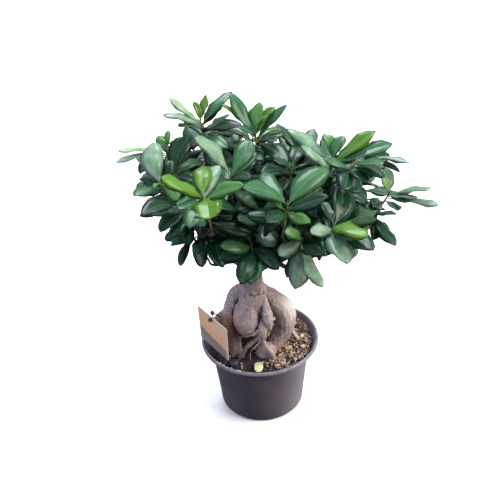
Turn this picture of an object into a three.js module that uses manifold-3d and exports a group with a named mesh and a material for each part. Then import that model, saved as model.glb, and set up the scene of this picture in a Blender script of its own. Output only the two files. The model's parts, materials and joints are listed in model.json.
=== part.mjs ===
// A Chinese banyan bonsai, Ficus microcarpa of the 'Ginseng' form, in its plastic nursery pot.
// Millimetres, +Z up. The origin is the middle of the pot's base, which stands on z = 0, and the
// tree's best side faces -Y.
import * as THREE from 'three';
import { mergeVertices } from 'three/addons/utils/BufferGeometryUtils.js';
import Module from 'manifold-3d';

const wasm = await Module();
wasm.setup();

// Clearance between two pieces that touch on the real object.
const GAP = 0.3;

// Pot
const POT_HEIGHT = 100;
const RIM_RADIUS = 75;
const RIM_INNER_RADIUS = 71.2;
const BASE_RADIUS = 50;
const WALL = 1.8;
// The outside of the wall, as radius and height: above the rounded foot, where it starts to flare,
// half way up the flare, and under the rolled rim.
const WALL_FOOT = [54.4, 8];
const WALL_TOP = [61.8, 78];
const FLARE = [67.2, 87.6];
const RIM_FOOT = [73.4, 93.6];
const POT_SIDES = 28;
const DRAIN_HOLES = 5;
const DRAIN_RADIUS = 4;
const DRAIN_CIRCLE = 31;
const FLOOR = 4.6;
const FOOT_RING = 2.4;

// Soil
const SOIL_TOP = 88;
const SOIL_RADIUS = 64.4;
const SOIL_CRUMB = 1.7;
const SOIL_CLEARANCE = 0.8;
const SOIL_EDGE_DROP = 1.6;
const SOIL_RINGS = 3;

// Leaves
const BLADE_HALF_THICKNESS = 0.6;
const PETIOLE_HALF_THICKNESS = 0.75;
const LEAF_SPACING = 2;
const GOLDEN_ANGLE = 137.5;
const STEM_LENGTH = 42;
const STEM_RADIUS = 1.5;
const BRANCHLET_RADIUS = 2.6;
// How far a branchlet runs in line with its shoot, as a share of its own length.
const LEAD = 0.22;
// The shoots fan out from this point above the neck, and each also turns up towards the light.
const CROWN_HUB = [0, 0, 215];
const OUTWARD_PULL = 0.5;
const UPWARD_PULL = 0.6;
const BUD_LENGTH = 4;
const BUD_RADIUS = 0.7;

const radians = THREE.MathUtils.degToRad;
const vector = (xyz) => new THREE.Vector3(...xyz);

// A repeatable number from 0 to 1 for any seed.
function chance(seed) {
  const wave = Math.sin(seed * 12.9898 + 4.1414) * 43758.5453;
  return wave - Math.floor(wave);
}

// A closed geometry as a solid, with the vertices that its faces share merged.
function solidOf(geometry) {
  let shape = geometry.clone();
  shape.deleteAttribute('normal');
  shape.deleteAttribute('uv');
  shape = mergeVertices(shape, 1e-4);
  return new wasm.Manifold(new wasm.Mesh({
    numProp: 3,
    vertProperties: new Float32Array(shape.attributes.position.array),
    triVerts: new Uint32Array(shape.index.array),
  }));
}

function geometryOf(solid) {
  const mesh = solid.getMesh();
  const geometry = new THREE.BufferGeometry();
  geometry.setAttribute('position', new THREE.BufferAttribute(mesh.vertProperties, 3));
  geometry.setIndex(new THREE.BufferAttribute(mesh.triVerts, 1));
  geometry.computeVertexNormals();
  return geometry;
}

const join = (solids) => solids.reduce((whole, solid) => whole.add(solid));

// A value read between equally spaced ones.
function between(values, share) {
  const place = share * (values.length - 1);
  const low = Math.min(Math.floor(place), values.length - 2);
  return THREE.MathUtils.lerp(values[low], values[low + 1], place - low);
}

// A tapering root or limb: a cylinder whose rings are carried along a smooth curve. The radii are
// given at equal distances along it.
function taperedLimb({ points, radii, sides, steps }, grow = 0) {
  const curve = new THREE.CatmullRomCurve3(points.map(vector));
  const frames = curve.computeFrenetFrames(steps);
  const geometry = new THREE.CylinderGeometry(1, 1, 1, sides, steps);
  const position = geometry.attributes.position;
  for (let i = 0; i < position.count; i += 1) {
    const step = Math.round((0.5 - position.getY(i)) * steps);
    const radius = between(radii, step / steps) + grow;
    const beyond = step === 0 ? -grow : grow * Math.floor(step / steps);
    const spot = curve.getPointAt(step / steps)
      .addScaledVector(frames.tangents[step], beyond)
      .addScaledVector(frames.normals[step], position.getX(i) * radius)
      .addScaledVector(frames.binormals[step], position.getZ(i) * radius);
    position.setXYZ(i, spot.x, spot.y, spot.z);
  }
  return solidOf(geometry);
}

// An egg-shaped swelling.
function swelling({ centre, size, lean = 0, round = [14, 10] }, grow = 0) {
  const geometry = new THREE.SphereGeometry(1, ...round);
  geometry.rotateX(Math.PI / 2);
  geometry.scale(size[0] + grow, size[1] + grow, size[2] + grow);
  geometry.rotateY(radians(lean));
  geometry.translate(...centre);
  return solidOf(geometry);
}

// The pot's moulded wall: foot ring, rounded corner, tapering wall and rolled rim, then the inside.
function potOutline() {
  return [
    [0, 0],
    [18, 0],
    [20, FOOT_RING],
    [42, FOOT_RING],
    [44, 0],
    [BASE_RADIUS - 2, 0],
    [BASE_RADIUS + 2, 2],
    WALL_FOOT,
    WALL_TOP,
    FLARE,
    RIM_FOOT,
    [RIM_RADIUS, 97],
    [RIM_RADIUS - 1.4, POT_HEIGHT],
    [RIM_INNER_RADIUS, 99.4],
    [FLARE[0] - 1.4, FLARE[1] + 1.2],
    [WALL_TOP[0] - WALL, WALL_TOP[1] + 0.6],
    [WALL_FOOT[0] - WALL, WALL_FOOT[1] + WALL],
    [BASE_RADIUS - 1, FLOOR],
    [0, FLOOR],
  ];
}

function pot() {
  const outline = potOutline().map(([radius, z]) => new THREE.Vector2(radius, z));
  const shell = new THREE.LatheGeometry(outline, POT_SIDES).rotateX(Math.PI / 2);
  let solid = solidOf(shell);
  for (let i = 0; i < DRAIN_HOLES; i += 1) {
    const angle = (2 * Math.PI * (i + 0.5)) / DRAIN_HOLES;
    const hole = new THREE.CylinderGeometry(DRAIN_RADIUS, DRAIN_RADIUS, 4 * FLOOR, 6);
    hole.rotateX(Math.PI / 2);
    hole.translate(DRAIN_CIRCLE * Math.cos(angle), DRAIN_CIRCLE * Math.sin(angle), 0);
    solid = solid.subtract(solidOf(hole));
  }
  return solid;
}

// The woody body below the crown: swellings and roots that grew together.
const SWELLINGS = [
  { centre: [-5, -4, 161], size: [24, 20, 21], round: [9, 6] },
  { centre: [-15, -22, 146], size: [17, 18, 27], lean: 4, round: [12, 9] },
  { centre: [-6, -19, 163], size: [18, 13, 21], round: [9, 6] },
  { centre: [-6, 4, 128], size: [20, 16, 34], round: [8, 6] },
  { centre: [5, -20.5, 93], size: [12, 11, 17], lean: 6, round: [7, 5] },
  { centre: [-28, -14, 96], size: [12, 9, 15], lean: -10, round: [7, 5] },
];

const ROOTS = {
  neck: {
    points: [[-5, -6, 158], [-7, -11, 180], [-7, -12, 195], [-5, -9, 214]],
    radii: [26, 17, 13, 12],
    sides: 10,
    steps: 5,
  },
  leftArch: {
    points: [
      [-10, 0, 171], [-26, -4, 165.5], [-34.5, -8, 153.5], [-37.8, -10, 136], [-37.8, -12.5, 118],
      [-33.5, -15, 101], [-30.5, -17, 74],
    ],
    radii: [8, 9, 8.5, 8.5, 8.5, 9, 9],
    sides: 8,
    steps: 7,
  },
  leftSide: {
    points: [[-37, -3, 141], [-48, 2, 130], [-54, 6, 118], [-55, 9, 100], [-52, 10, 76]],
    radii: [7, 6.5, 6, 6, 5],
    sides: 6,
    steps: 3,
  },
  rightArch: {
    points: [
      [2, -8, 169], [16, -9, 162.5], [27.5, -9.5, 152.5], [33.5, -8, 138], [31.5, -8, 121], [24.5, -10, 105],
      [13, -15, 91], [5, -19, 76],
    ],
    radii: [11, 12, 12.5, 12.5, 12.5, 11.5, 10, 9],
    sides: 9,
    steps: 8,
  },
  finger: {
    points: [[5, -20, 177], [8.5, -29, 162], [9.8, -34.5, 151], [11.5, -36, 141.5], [12.7, -34.5, 133.5]],
    radii: [3, 5, 6.4, 5, 2],
    sides: 7,
    steps: 5,
  },
  twisted: {
    points: [
      [2, -28, 148], [4, -34.5, 137], [3.2, -36, 129.5], [2.4, -35, 122.2], [4.2, -34.5, 114.3],
      [8.9, -34, 104.1], [14.3, -34.5, 95.4], [19.5, -36, 80],
    ],
    radii: [3, 6, 5.2, 2.4, 2.8, 3, 2.6, 2.4],
    sides: 6,
    steps: 8,
  },
  strand: {
    points: [
      [5, -6, 128], [3, -20, 120], [-2.9, -28, 116.6], [-10.6, -31, 112.4], [-18.4, -30, 103.3],
      [-29, -25, 78],
    ],
    radii: [3.4, 3, 3, 3.2, 3.2],
    sides: 5,
    steps: 6,
  },
  thinUnderBulb: {
    points: [
      [3, -32, 138], [-3.7, -37, 134.6], [-8.2, -38, 130.6], [-15, -36, 127], [-21.2, -30, 122],
      [-34, -16, 112],
    ],
    radii: [1.4, 1.3, 1.3, 1.4],
    sides: 4,
    steps: 5,
  },
  thinInFront: {
    points: [[2.6, -34.4, 120], [-5.1, -35.5, 111.7], [-11, -35.5, 105], [-13.5, -34, 97.5], [-13, -32, 76]],
    radii: [1.4, 1.3, 1.3, 1.4],
    sides: 4,
    steps: 5,
  },
  backLeft: {
    points: [[-12, 2, 172], [-26, 14, 154], [-33, 22, 126], [-31, 27, 98], [-28, 29, 72]],
    radii: [10, 12, 11.5, 10.5, 8],
    sides: 6,
    steps: 4,
  },
  backMiddle: {
    points: [[-5, 2, 172], [-7, 20, 152], [-8, 30, 122], [-5, 33, 96], [-3, 34, 72]],
    radii: [11, 12, 12, 10.5, 8],
    sides: 6,
    steps: 4,
  },
  backRight: {
    points: [[3, 0, 168], [18, 8, 154], [27, 15, 130], [30, 21, 102], [28, 24, 72]],
    radii: [9, 9.5, 8.5, 8.5, 7],
    sides: 6,
    steps: 4,
  },
};

// The limbs fork off the top of the neck.
const NECK_TOP = [-5, -9, 208];
const LIMBS = {
  left: [[-24, -4, 228], [-58, 2, 262], [-92, 4, 300]],
  frontLeft: [[-22, -24, 232], [-47, -46, 266], [-58, -64, 294]],
  front: [[4, -30, 230], [18, -62, 256], [28, -88, 290]],
  frontRight: [[22, -22, 230], [58, -46, 258], [96, -58, 290]],
  right: [[26, 0, 230], [68, 10, 262], [112, 14, 294]],
  backRight: [[18, 18, 232], [48, 56, 264], [76, 90, 300]],
  back: [[-12, 20, 234], [-26, 60, 268], [-36, 92, 304]],
  centre: [[-2, -8, 240], [6, -4, 285], [10, 6, 335]],
};
const LIMB_RADII = [9, 7, 5.5, 4];

// Each leafy shoot: where its tip stands, and its leaves from the youngest down. A leaf is its
// azimuth from +X and its rise above the horizon in degrees, then its length and its width. A short
// stem is for a shoot that stands close to a limb.
const SHOOTS = {
  top_left: {
    tip: [-55, 20, 385],
    leaves: [
      [65, 55, 30, 10], [130, 65, 24, 8], [180, 45, 46, 14], [40, 30, 54, 17], [50, 30, 36, 17],
      [205, 30, 50, 18], [225, 25, 38, 15], [340, 15, 48, 18], [290, 35, 28, 14], [305, 0, 46, 17],
      [245, 5, 36, 16],
    ],
  },
  top_middle: {
    tip: [5, 0, 380],
    leaves: [
      [95, 35, 28, 14], [320, 50, 26, 13], [70, 55, 34, 14], [35, 45, 36, 13], [135, 50, 54, 17],
      [160, 50, 52, 10], [205, 50, 28, 14], [15, 45, 52, 13], [40, 5, 38, 14], [300, -5, 60, 23],
      [305, 25, 42, 17], [260, 10, 36, 16],
    ],
  },
  middle_left: {
    tip: [-25, -60, 355],
    leaves: [[200, 55, 58, 25], [60, 30, 50, 21], [40, 25, 42, 13], [240, 15, 32, 14], [305, 25, 40, 16]],
  },
  left_bright: {
    tip: [-50, -115, 360],
    leaves: [
      [90, 20, 42, 20], [280, -5, 38, 25], [210, 40, 54, 18], [325, 30, 56, 17], [70, 25, 48, 20],
      [255, 0, 48, 20], [230, 25, 36, 18],
    ],
  },
  left: {
    tip: [-95, -60, 350],
    leaves: [
      [250, 10, 16, 7], [300, 15, 14, 6], [105, 35, 54, 26], [305, -5, 30, 14], [230, 20, 42, 17],
      [140, 15, 30, 12], [75, 45, 36, 18],
    ],
  },
  left_back: {
    tip: [-95, 10, 355],
    leaves: [
      [85, 35, 28, 8], [120, 30, 24, 12], [215, 20, 62, 12], [215, 10, 64, 12], [235, 0, 48, 16],
      [60, 25, 34, 17],
    ],
  },
  left_inner: {
    tip: [-85, -30, 345],
    leaves: [[65, 30, 48, 26], [45, 5, 42, 18], [315, 10, 34, 15], [290, -5, 30, 15]],
  },
  left_low: {
    tip: [-70, -70, 325],
    stem: 24,
    leaves: [[225, 15, 60, 22], [235, -5, 46, 20], [250, -10, 44, 18], [155, 0, 48, 18]],
  },
  left_bottom: {
    tip: [-70, -40, 275],
    leaves: [[230, 5, 34, 14], [250, -20, 42, 12], [285, -25, 40, 17], [160, -5, 38, 16], [310, 5, 34, 16]],
  },
  bottom_left: {
    tip: [-40, -60, 285],
    stem: 24,
    leaves: [[260, 55, 22, 11], [275, -15, 46, 20], [245, -5, 36, 16], [290, -10, 42, 17], [215, 20, 34, 16]],
  },
  bottom_middle: {
    tip: [-5, -95, 290],
    leaves: [
      [85, 30, 58, 25], [220, 25, 46, 19], [305, -5, 44, 19], [255, -10, 52, 22], [265, -5, 48, 20],
      [250, 0, 40, 18], [320, 25, 42, 17],
    ],
  },
  centre: {
    tip: [30, -120, 350],
    leaves: [
      [115, 15, 52, 20], [210, 35, 62, 20], [40, 20, 62, 25], [35, 10, 46, 20], [325, 30, 52, 20],
      [310, 0, 32, 14], [205, 45, 58, 13], [240, 15, 42, 18], [55, 60, 38, 17],
    ],
  },
  centre_bottom: {
    tip: [45, -105, 300],
    leaves: [
      [190, 35, 32, 17], [225, 0, 34, 17], [288, -20, 58, 15], [265, -20, 56, 24], [245, -20, 42, 18],
      [300, 15, 44, 18],
    ],
  },
  right_low: {
    tip: [75, -120, 325],
    leaves: [
      [105, 20, 32, 15], [75, 20, 54, 26], [300, 15, 54, 22], [220, 15, 32, 16], [295, 15, 48, 19],
      [305, 5, 58, 20], [280, -5, 52, 24], [260, 0, 40, 19], [25, 50, 36, 16],
    ],
  },
  right_top: {
    tip: [85, -30, 355],
    leaves: [
      [75, 40, 24, 8], [100, 40, 32, 15], [50, 40, 30, 13], [140, 25, 64, 21], [355, 20, 68, 20],
      [5, 30, 60, 17], [0, 20, 54, 17], [205, 45, 50, 21], [140, 30, 54, 17], [250, 15, 42, 20],
    ],
  },
  right_middle: {
    tip: [100, -60, 360],
    leaves: [
      [40, 0, 40, 16], [310, 20, 44, 17], [310, 5, 44, 17], [195, 30, 34, 13], [255, -5, 38, 22],
      [295, 5, 34, 18],
    ],
  },
  right: {
    tip: [145, -40, 315],
    leaves: [
      [130, 55, 28, 9], [85, 35, 34, 15], [320, 25, 54, 19], [310, 20, 42, 17], [320, 10, 62, 15],
      [285, 5, 30, 17], [235, 15, 30, 15],
    ],
  },
  right_back: {
    tip: [130, 20, 328],
    leaves: [[320, 10, 56, 14], [315, 0, 46, 14], [30, 5, 36, 15], [115, 10, 30, 15]],
  },
  right_bottom: {
    tip: [125, -60, 300],
    leaves: [[290, -15, 48, 19], [310, 25, 34, 15], [120, 0, 32, 16], [265, -10, 34, 16], [290, 5, 34, 15]],
  },
  middle_dark: {
    tip: [40, -50, 355],
    leaves: [[70, 15, 36, 20], [45, 0, 34, 17], [220, 40, 32, 14], [295, 10, 40, 19], [220, 20, 44, 18]],
  },
  back_far_left: { tip: [-104, 62, 312], grown: 8 },
  back_left: { tip: [-72, 104, 312], grown: 8 },
  back: { tip: [-16, 122, 312], grown: 8 },
  back_right: { tip: [42, 116, 302], grown: 8 },
  back_far_right: { tip: [92, 90, 296], grown: 8 },
  far_right: { tip: [134, 50, 286], grown: 9 },
  far_left: { tip: [-88, 22, 300], grown: 8 },
  top_back_left: { tip: [-52, 64, 344], grown: 9 },
  top_back: { tip: [2, 74, 338], grown: 8 },
  top_back_right: { tip: [58, 48, 328], grown: 9 },
  low_back_left: { tip: [-62, 56, 272], grown: 6 },
  low_back: { tip: [-6, 80, 270], grown: 6 },
  low_back_right: { tip: [60, 70, 266], grown: 6 },
  low_right: { tip: [92, 0, 276], grown: 6 },
  inner_left: { tip: [-55, -48, 314], grown: 8 },
  inner_front: { tip: [5, -72, 318], grown: 8 },
  inner_middle: { tip: [34, -16, 326], grown: 8 },
  inner_right: { tip: [84, -78, 300], grown: 7 },
  inner_low: { tip: [30, -56, 280], grown: 7 },
};
const EXTRA_LEAVES = 1;

// A shoot's axis lies between the way out of the crown and straight up.
function shoot(row) {
  const tip = vector(row.tip);
  const outward = tip.clone().sub(vector(CROWN_HUB)).normalize();
  const axis = outward.multiplyScalar(OUTWARD_PULL).add(new THREE.Vector3(0, 0, UPWARD_PULL)).normalize();
  const foot = tip.clone().addScaledVector(axis, -(row.stem ?? STEM_LENGTH));
  return { tip, axis, foot };
}

const limbPoints = (name) => [NECK_TOP, ...LIMBS[name]];

// A branchlet leaves the nearest limb, low enough to climb into the foot of its shoot.
function branchlet(row) {
  const { axis, foot } = shoot(row);
  let best = null;
  Object.keys(LIMBS).forEach((name) => {
    const curve = new THREE.CatmullRomCurve3(limbPoints(name).map(vector));
    for (let i = 3; i <= 10; i += 1) {
      const start = curve.getPoint(i / 10);
      const way = foot.clone().sub(start);
      const cost = way.length() + 2 * Math.max(0, 12 - way.z);
      if (!best || cost < best.cost) {
        best = { cost, start };
      }
    }
  });
  const lead = foot.clone().addScaledVector(axis, -best.start.distanceTo(foot) * LEAD);
  return {
    points: [best.start.toArray(), lead.toArray(), foot.toArray()],
    radii: [BRANCHLET_RADIUS + 0.8, BRANCHLET_RADIUS, STEM_RADIUS + 0.2],
    sides: 3,
    steps: 2,
  };
}

function wood(grow = 0) {
  const pieces = SWELLINGS.map((one) => swelling(one, grow));
  Object.values(ROOTS).forEach((one) => pieces.push(taperedLimb(one, grow)));
  return join(pieces);
}

function crown() {
  const limbs = Object.keys(LIMBS).map((name) => taperedLimb({
    points: limbPoints(name),
    radii: LIMB_RADII,
    sides: 5,
    steps: 3,
  }));
  const branchlets = Object.values(SHOOTS).map((row) => taperedLimb(branchlet(row)));
  return join([...limbs, ...branchlets]);
}

// A leaf blade: a foot inside the stem, a few rings round the blade, and a tip. Each ring is a share
// of the length and a share of the half width.
const BLADE_RINGS = [[0.1, 0.12], [0.42, 0.96], [0.76, 0.84]];
// Two leaves of one shoot may meet only within this share of their length.
const SHARED_FOOT = 0.3;

// A ring of a folded blade is its left edge, upper rib, right edge and lower rib. A plain blade has
// a flat upper face and a keel.
function bladeSection(half, thick, fold, plain) {
  return plain
    ? [[-half, 0.4 * thick], [half, 0.4 * thick], [0, -1.4 * thick]]
    : [[-half, fold * half], [0, thick], [half, fold * half], [0, -thick]];
}

function blade(leaf, grow = 0, from = 0) {
  const { start, along, up, length, width, arch, fold, sway, plain } = leaf;
  const side = new THREE.Vector3().crossVectors(up, along);
  const points = [];
  const add = (share, out, lift) => {
    const hump = 4 * share * (1 - share);
    const spot = start.clone()
      .addScaledVector(along, share * length)
      .addScaledVector(up, hump * arch * length + lift)
      .addScaledVector(side, hump * sway * length + out);
    points.push(spot.x, spot.y, spot.z);
  };
  add(from, 0, 0);
  const rings = BLADE_RINGS.filter(([share]) => share > from);
  rings.forEach(([share, spread]) => {
    const half = spread * width * 0.5 + grow;
    const thick = (share < 0.2 ? PETIOLE_HALF_THICKNESS : BLADE_HALF_THICKNESS) + grow;
    bladeSection(half, thick, fold, plain).forEach(([out, lift]) => add(share, out, lift));
  });
  add(1 + grow / length, 0, 0);
  const around = plain ? 3 : 4;
  const edges = plain ? [0, 1] : [0, 2];
  const tip = rings.length * around + 1;
  const faces = [];
  for (let k = 0; k < around; k += 1) {
    const next = (k + 1) % around;
    faces.push(0, 1 + k, 1 + next);
    for (let ring = 1; ring < tip - around; ring += around) {
      const [a, b, farA, farB] = [ring + k, ring + next, ring + around + k, ring + around + next];
      // Both faces of each half are split along the same line, out from the blade's edge.
      if (edges.includes(k)) {
        faces.push(a, farA, farB, a, farB, b);
      } else {
        faces.push(b, a, farA, b, farA, farB);
      }
    }
    faces.push(tip, tip - around + next, tip - around + k);
  }
  const geometry = new THREE.BufferGeometry();
  geometry.setAttribute('position', new THREE.Float32BufferAttribute(points, 3));
  geometry.setIndex(faces);
  return solidOf(geometry);
}

// Where a leaf's row puts it on its shoot, turned and lifted by a few degrees.
function placeLeaf(row, stemSeed, order, [azimuth, rise, length, width, plain], turn, lift) {
  const { tip, axis } = shoot(row);
  const level = radians(azimuth + turn);
  const climb = radians(rise + lift);
  const along = new THREE.Vector3(
    Math.cos(climb) * Math.cos(level),
    Math.cos(climb) * Math.sin(level),
    Math.sin(climb),
  );
  const up = axis.clone().addScaledVector(along, -axis.dot(along)).normalize();
  const seed = stemSeed * 31 + order;
  return {
    start: tip.clone().addScaledVector(axis, -LEAF_SPACING * order),
    along,
    up,
    length,
    width,
    arch: 0.05 + 0.06 * chance(seed),
    fold: 0.12 + 0.22 * chance(seed + 0.3),
    sway: 0.1 * (chance(seed + 0.6) - 0.5),
    plain,
  };
}

// Leaves that follow the golden angle round the shoot, the lower ones longer and flatter.
function grownLeaves(count, stemSeed, first) {
  return Array.from({ length: count }, (_, i) => {
    const order = first + i;
    const share = i / Math.max(count - 1, 1);
    const azimuth = (stemSeed * 67 + order * GOLDEN_ANGLE) % 360;
    const rise = first ? 5 - 15 * share : 45 - 60 * share;
    const length = first ? 38 + 6 * share : 37 + 14 * share + 5 * chance(stemSeed + order * 0.37);
    return [azimuth, rise, length, length * (0.42 + 0.08 * chance(stemSeed + order * 0.71)), true];
  });
}

// A leaf that would cross another shoot is turned or lifted until it is clear.
const TRIES = [
  [0, 0], [6, 0], [-6, 0], [0, 7], [0, -7], [12, 0], [-12, 0], [8, 8], [-8, 8], [8, -8], [-8, -8],
  [20, 0], [-20, 0], [16, 12], [-16, 12], [16, -12], [-16, -12], [30, 6], [-30, 6], [30, -8], [-30, -8],
];

const boxesMeet = (a, b) => [0, 1, 2].every((k) => a.min[k] < b.max[k] && b.min[k] < a.max[k]);

// Whether a leaf meets the wood, another shoot, or another leaf of its own shoot past its foot.
function crosses(leaf, obstacles, owner) {
  const whole = blade(leaf, GAP * 1.2);
  const outer = blade(leaf, 0, SHARED_FOOT);
  const box = whole.boundingBox();
  return obstacles.some((other) => boxesMeet(box, other.box)
    && !(other.owner === owner ? outer : whole).intersect(other.solid).isEmpty());
}

function sprays(woodSolids) {
  const obstacles = woodSolids.map((solid) => ({ owner: 'wood', solid, box: solid.boundingBox() }));
  const names = Object.keys(SHOOTS);
  const grown = Object.fromEntries(names.map((name) => [name, []]));
  names.forEach((name) => {
    const { tip, axis, foot } = shoot(SHOOTS[name]);
    const start = foot.clone().addScaledVector(axis, GAP);
    const bud = tip.clone().addScaledVector(axis, BUD_LENGTH);
    const stem = taperedLimb({
      points: [start.toArray(), bud.toArray()],
      radii: [STEM_RADIUS, STEM_RADIUS, BUD_RADIUS],
      sides: 4,
      steps: 2,
    });
    grown[name].push(stem);
    obstacles.push({ owner: name, solid: stem, box: stem.boundingBox() });
  });
  const addLeaf = (name, stemSeed, order, leaf) => {
    for (const [turn, lift] of TRIES) {
      const placed = placeLeaf(SHOOTS[name], stemSeed, order, leaf, turn, lift);
      if (!crosses(placed, obstacles, name)) {
        const solid = blade(placed);
        grown[name].push(solid);
        obstacles.push({ owner: name, solid, box: solid.boundingBox() });
        return;
      }
    }
  };
  names.forEach((name, stemSeed) => {
    (SHOOTS[name].leaves ?? []).forEach((leaf, order) => addLeaf(name, stemSeed, order, leaf));
  });
  names.forEach((name, stemSeed) => {
    const placed = SHOOTS[name].leaves?.length ?? 0;
    const count = SHOOTS[name].grown ?? EXTRA_LEAVES;
    grownLeaves(count, stemSeed, placed).forEach((leaf, i) => {
      addLeaf(name, stemSeed, placed + i, leaf);
    });
  });
  return grown;
}

// A repeatable draw, from -1 to 1, for a place on the soil.
const crumb = (x, y) => 2 * chance(Math.round(3 * x) * 1.7 + Math.round(3 * y) * 0.9) - 1;

// The soil fills the pot. Its top is crumbly: rings of points raised and lowered by a formula.
function soilBody() {
  const inset = WALL + SOIL_CLEARANCE;
  const outline = [
    [0, FLOOR + GAP],
    [WALL_FOOT[0] - 2.6 * inset, FLOOR + GAP],
    [WALL_FOOT[0] - inset, WALL_FOOT[1] + WALL],
    [WALL_TOP[0] - inset, WALL_TOP[1]],
    [SOIL_RADIUS - 1, SOIL_TOP - SOIL_EDGE_DROP],
  ];
  for (let ring = SOIL_RINGS; ring > 0; ring -= 1) {
    outline.push([SOIL_RADIUS * (ring / (SOIL_RINGS + 1)), SOIL_TOP]);
  }
  outline.push([0, SOIL_TOP]);
  const profile = outline.map(([radius, z]) => new THREE.Vector2(radius, z));
  const geometry = new THREE.LatheGeometry(profile, POT_SIDES).rotateX(Math.PI / 2);
  const position = geometry.attributes.position;
  for (let i = 0; i < position.count; i += 1) {
    const [x, y, z] = [position.getX(i), position.getY(i), position.getZ(i)];
    if (z === SOIL_TOP) {
      position.setZ(i, z + SOIL_CRUMB * crumb(x, y));
    }
  }
  return solidOf(geometry);
}

// The plant tag's lower edge rests on the rim at the left and on the soil at the right, and the
// card leans forward from there.
const TAG = {
  left: [-75, -1, 102],
  right: [-40.5, -37, 90.5],
  height: 67,
  lean: 11,
  corner: 1.6,
  thickness: 0.9,
  hole: { radius: 2.2, across: -1.5, up: 61 },
};

// The card's own axes: along its lower edge, up its face, and out of its front.
function tagAxes() {
  const across = vector(TAG.right).sub(vector(TAG.left)).normalize();
  const back = new THREE.Vector3().crossVectors(across, new THREE.Vector3(0, 0, 1)).normalize();
  const up = new THREE.Vector3().crossVectors(back, across).applyAxisAngle(across, radians(TAG.lean));
  const front = new THREE.Vector3().crossVectors(across, up);
  return new THREE.Matrix4()
    .makeBasis(across, up, front)
    .setPosition(vector(TAG.left).add(vector(TAG.right)).multiplyScalar(0.5));
}

function tagCard(grow = 0) {
  const half = vector(TAG.left).distanceTo(vector(TAG.right)) / 2 + grow;
  const high = TAG.height + grow;
  const card = new THREE.Shape();
  card.moveTo(-half, -grow);
  card.lineTo(half, -grow);
  card.lineTo(half, high - TAG.corner);
  card.lineTo(half - TAG.corner, high);
  card.lineTo(-half + TAG.corner, high);
  card.lineTo(-half, high - TAG.corner);
  const thick = TAG.thickness + 2 * grow;
  const solid = new THREE.ExtrudeGeometry(card, { depth: thick, bevelEnabled: false });
  solid.translate(0, 0, -thick / 2);
  return solidOf(solid.applyMatrix4(tagAxes()));
}

function tag() {
  const { radius, across, up } = TAG.hole;
  const punch = new THREE.CylinderGeometry(radius, radius, 6 * TAG.thickness, 8).rotateX(Math.PI / 2);
  punch.translate(across, up, 0);
  return tagCard().subtract(solidOf(punch.applyMatrix4(tagAxes())));
}

// The tie: a wire from a knot in front of the hole, through it and up behind the card to a second
// knot, and from there back to the side root that it was hooked round. The places are given from
// the hole: across the card, up its face and out of its front.
const TIE = {
  radius: 0.9,
  knot: 2.2,
  front: [0.4, 1, 3],
  behind: [-0.2, -0.4, -3],
  top: [-0.8, 12.2, -2.8],
  root: [-48.6, -6.2, 136.6],
};

function tagTie() {
  const place = tagAxes();
  const onCard = ([x, y, z]) => new THREE.Vector3(TAG.hole.across + x, TAG.hole.up + y, z)
    .applyMatrix4(place)
    .toArray();
  const [front, behind, top] = [TIE.front, TIE.behind, TIE.top].map(onCard);
  const radii = [TIE.radius, TIE.radius];
  const rod = (from, to) => taperedLimb({ points: [from, to], radii, sides: 5, steps: 1 });
  const knot = (spot) => swelling({ centre: spot, size: [TIE.knot, TIE.knot, TIE.knot], round: [5, 3] });
  return join([rod(front, behind), rod(behind, top), rod(top, TIE.root), knot(front), knot(top)]);
}

const STONE = { centre: [-34.2, -41.5, SOIL_TOP + 2.2], size: [6.4, 6, 5], round: [10, 6] };

// A small pale leaf that fell on the soil, its tip towards the rim.
const FALLEN_LEAF = { foot: [-3.7, -44.6, SOIL_TOP + 5.6], tip: [-4, -60.4, SOIL_TOP + 2.4], width: 14 };

function fallenLeaf() {
  const start = vector(FALLEN_LEAF.foot);
  const chord = vector(FALLEN_LEAF.tip).sub(start);
  const along = chord.clone().normalize();
  const up = new THREE.Vector3(0, 0, 1).addScaledVector(along, -along.z).normalize();
  const { width } = FALLEN_LEAF;
  return blade({ start, along, up, length: chord.length(), width, arch: 0.1, fold: -0.1, sway: 0 });
}

const FINISHES = {
  pot: { color: 0x47424c, roughness: 0.5, metalness: 0 },
  soil: { color: 0x3a2c22, roughness: 0.95, metalness: 0 },
  stone: { color: 0x2c3036, roughness: 0.7, metalness: 0 },
  bark: { color: 0xa08d84, roughness: 0.8, metalness: 0 },
  leaf: { color: 0x2f5f45, roughness: 0.4, metalness: 0 },
  tag: { color: 0xcb9c74, roughness: 0.6, metalness: 0 },
  tie: { color: 0x3a2322, roughness: 0.6, metalness: 0 },
  fallen: { color: 0xc9cf86, roughness: 0.6, metalness: 0 },
};

const tree = new THREE.Group();

function addPiece(name, solid, finish) {
  const piece = new THREE.Mesh(geometryOf(solid), new THREE.MeshStandardMaterial(FINISHES[finish]));
  piece.name = name;
  tree.add(piece);
}

const roots = wood();
const limbs = crown();
const soil = soilBody()
  .subtract(wood(GAP))
  .subtract(tagCard(GAP))
  .subtract(swelling(STONE, GAP));

addPiece('pot', pot(), 'pot');
addPiece('soil', soil, 'soil');
addPiece('stone', swelling(STONE), 'stone');
addPiece('trunk', roots.add(limbs), 'bark');
addPiece('tag', tag(), 'tag');
addPiece('tag_tie', tagTie(), 'tie');
addPiece('fallen_leaf', fallenLeaf(), 'fallen');
Object.entries(sprays([roots, limbs])).forEach(([name, solids]) => {
  addPiece(`spray_${name}`, join(solids), 'leaf');
});

export default tree;
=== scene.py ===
# %% [markdown]
# # A Chinese banyan bonsai in its nursery pot
#
# Ficus microcarpa is sold as a small tree whose seedling roots have swollen into arches and bulbs.
# Here the solid model gives every piece its place, and this file gives each piece its surface. It
# is read from top to bottom: first the frame and a few helpers, then the camera and the light, then
# the pot, the soil, the wood, the leaves and the small things that lie on the soil.

# %% Load the frame
import json
import math

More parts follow.
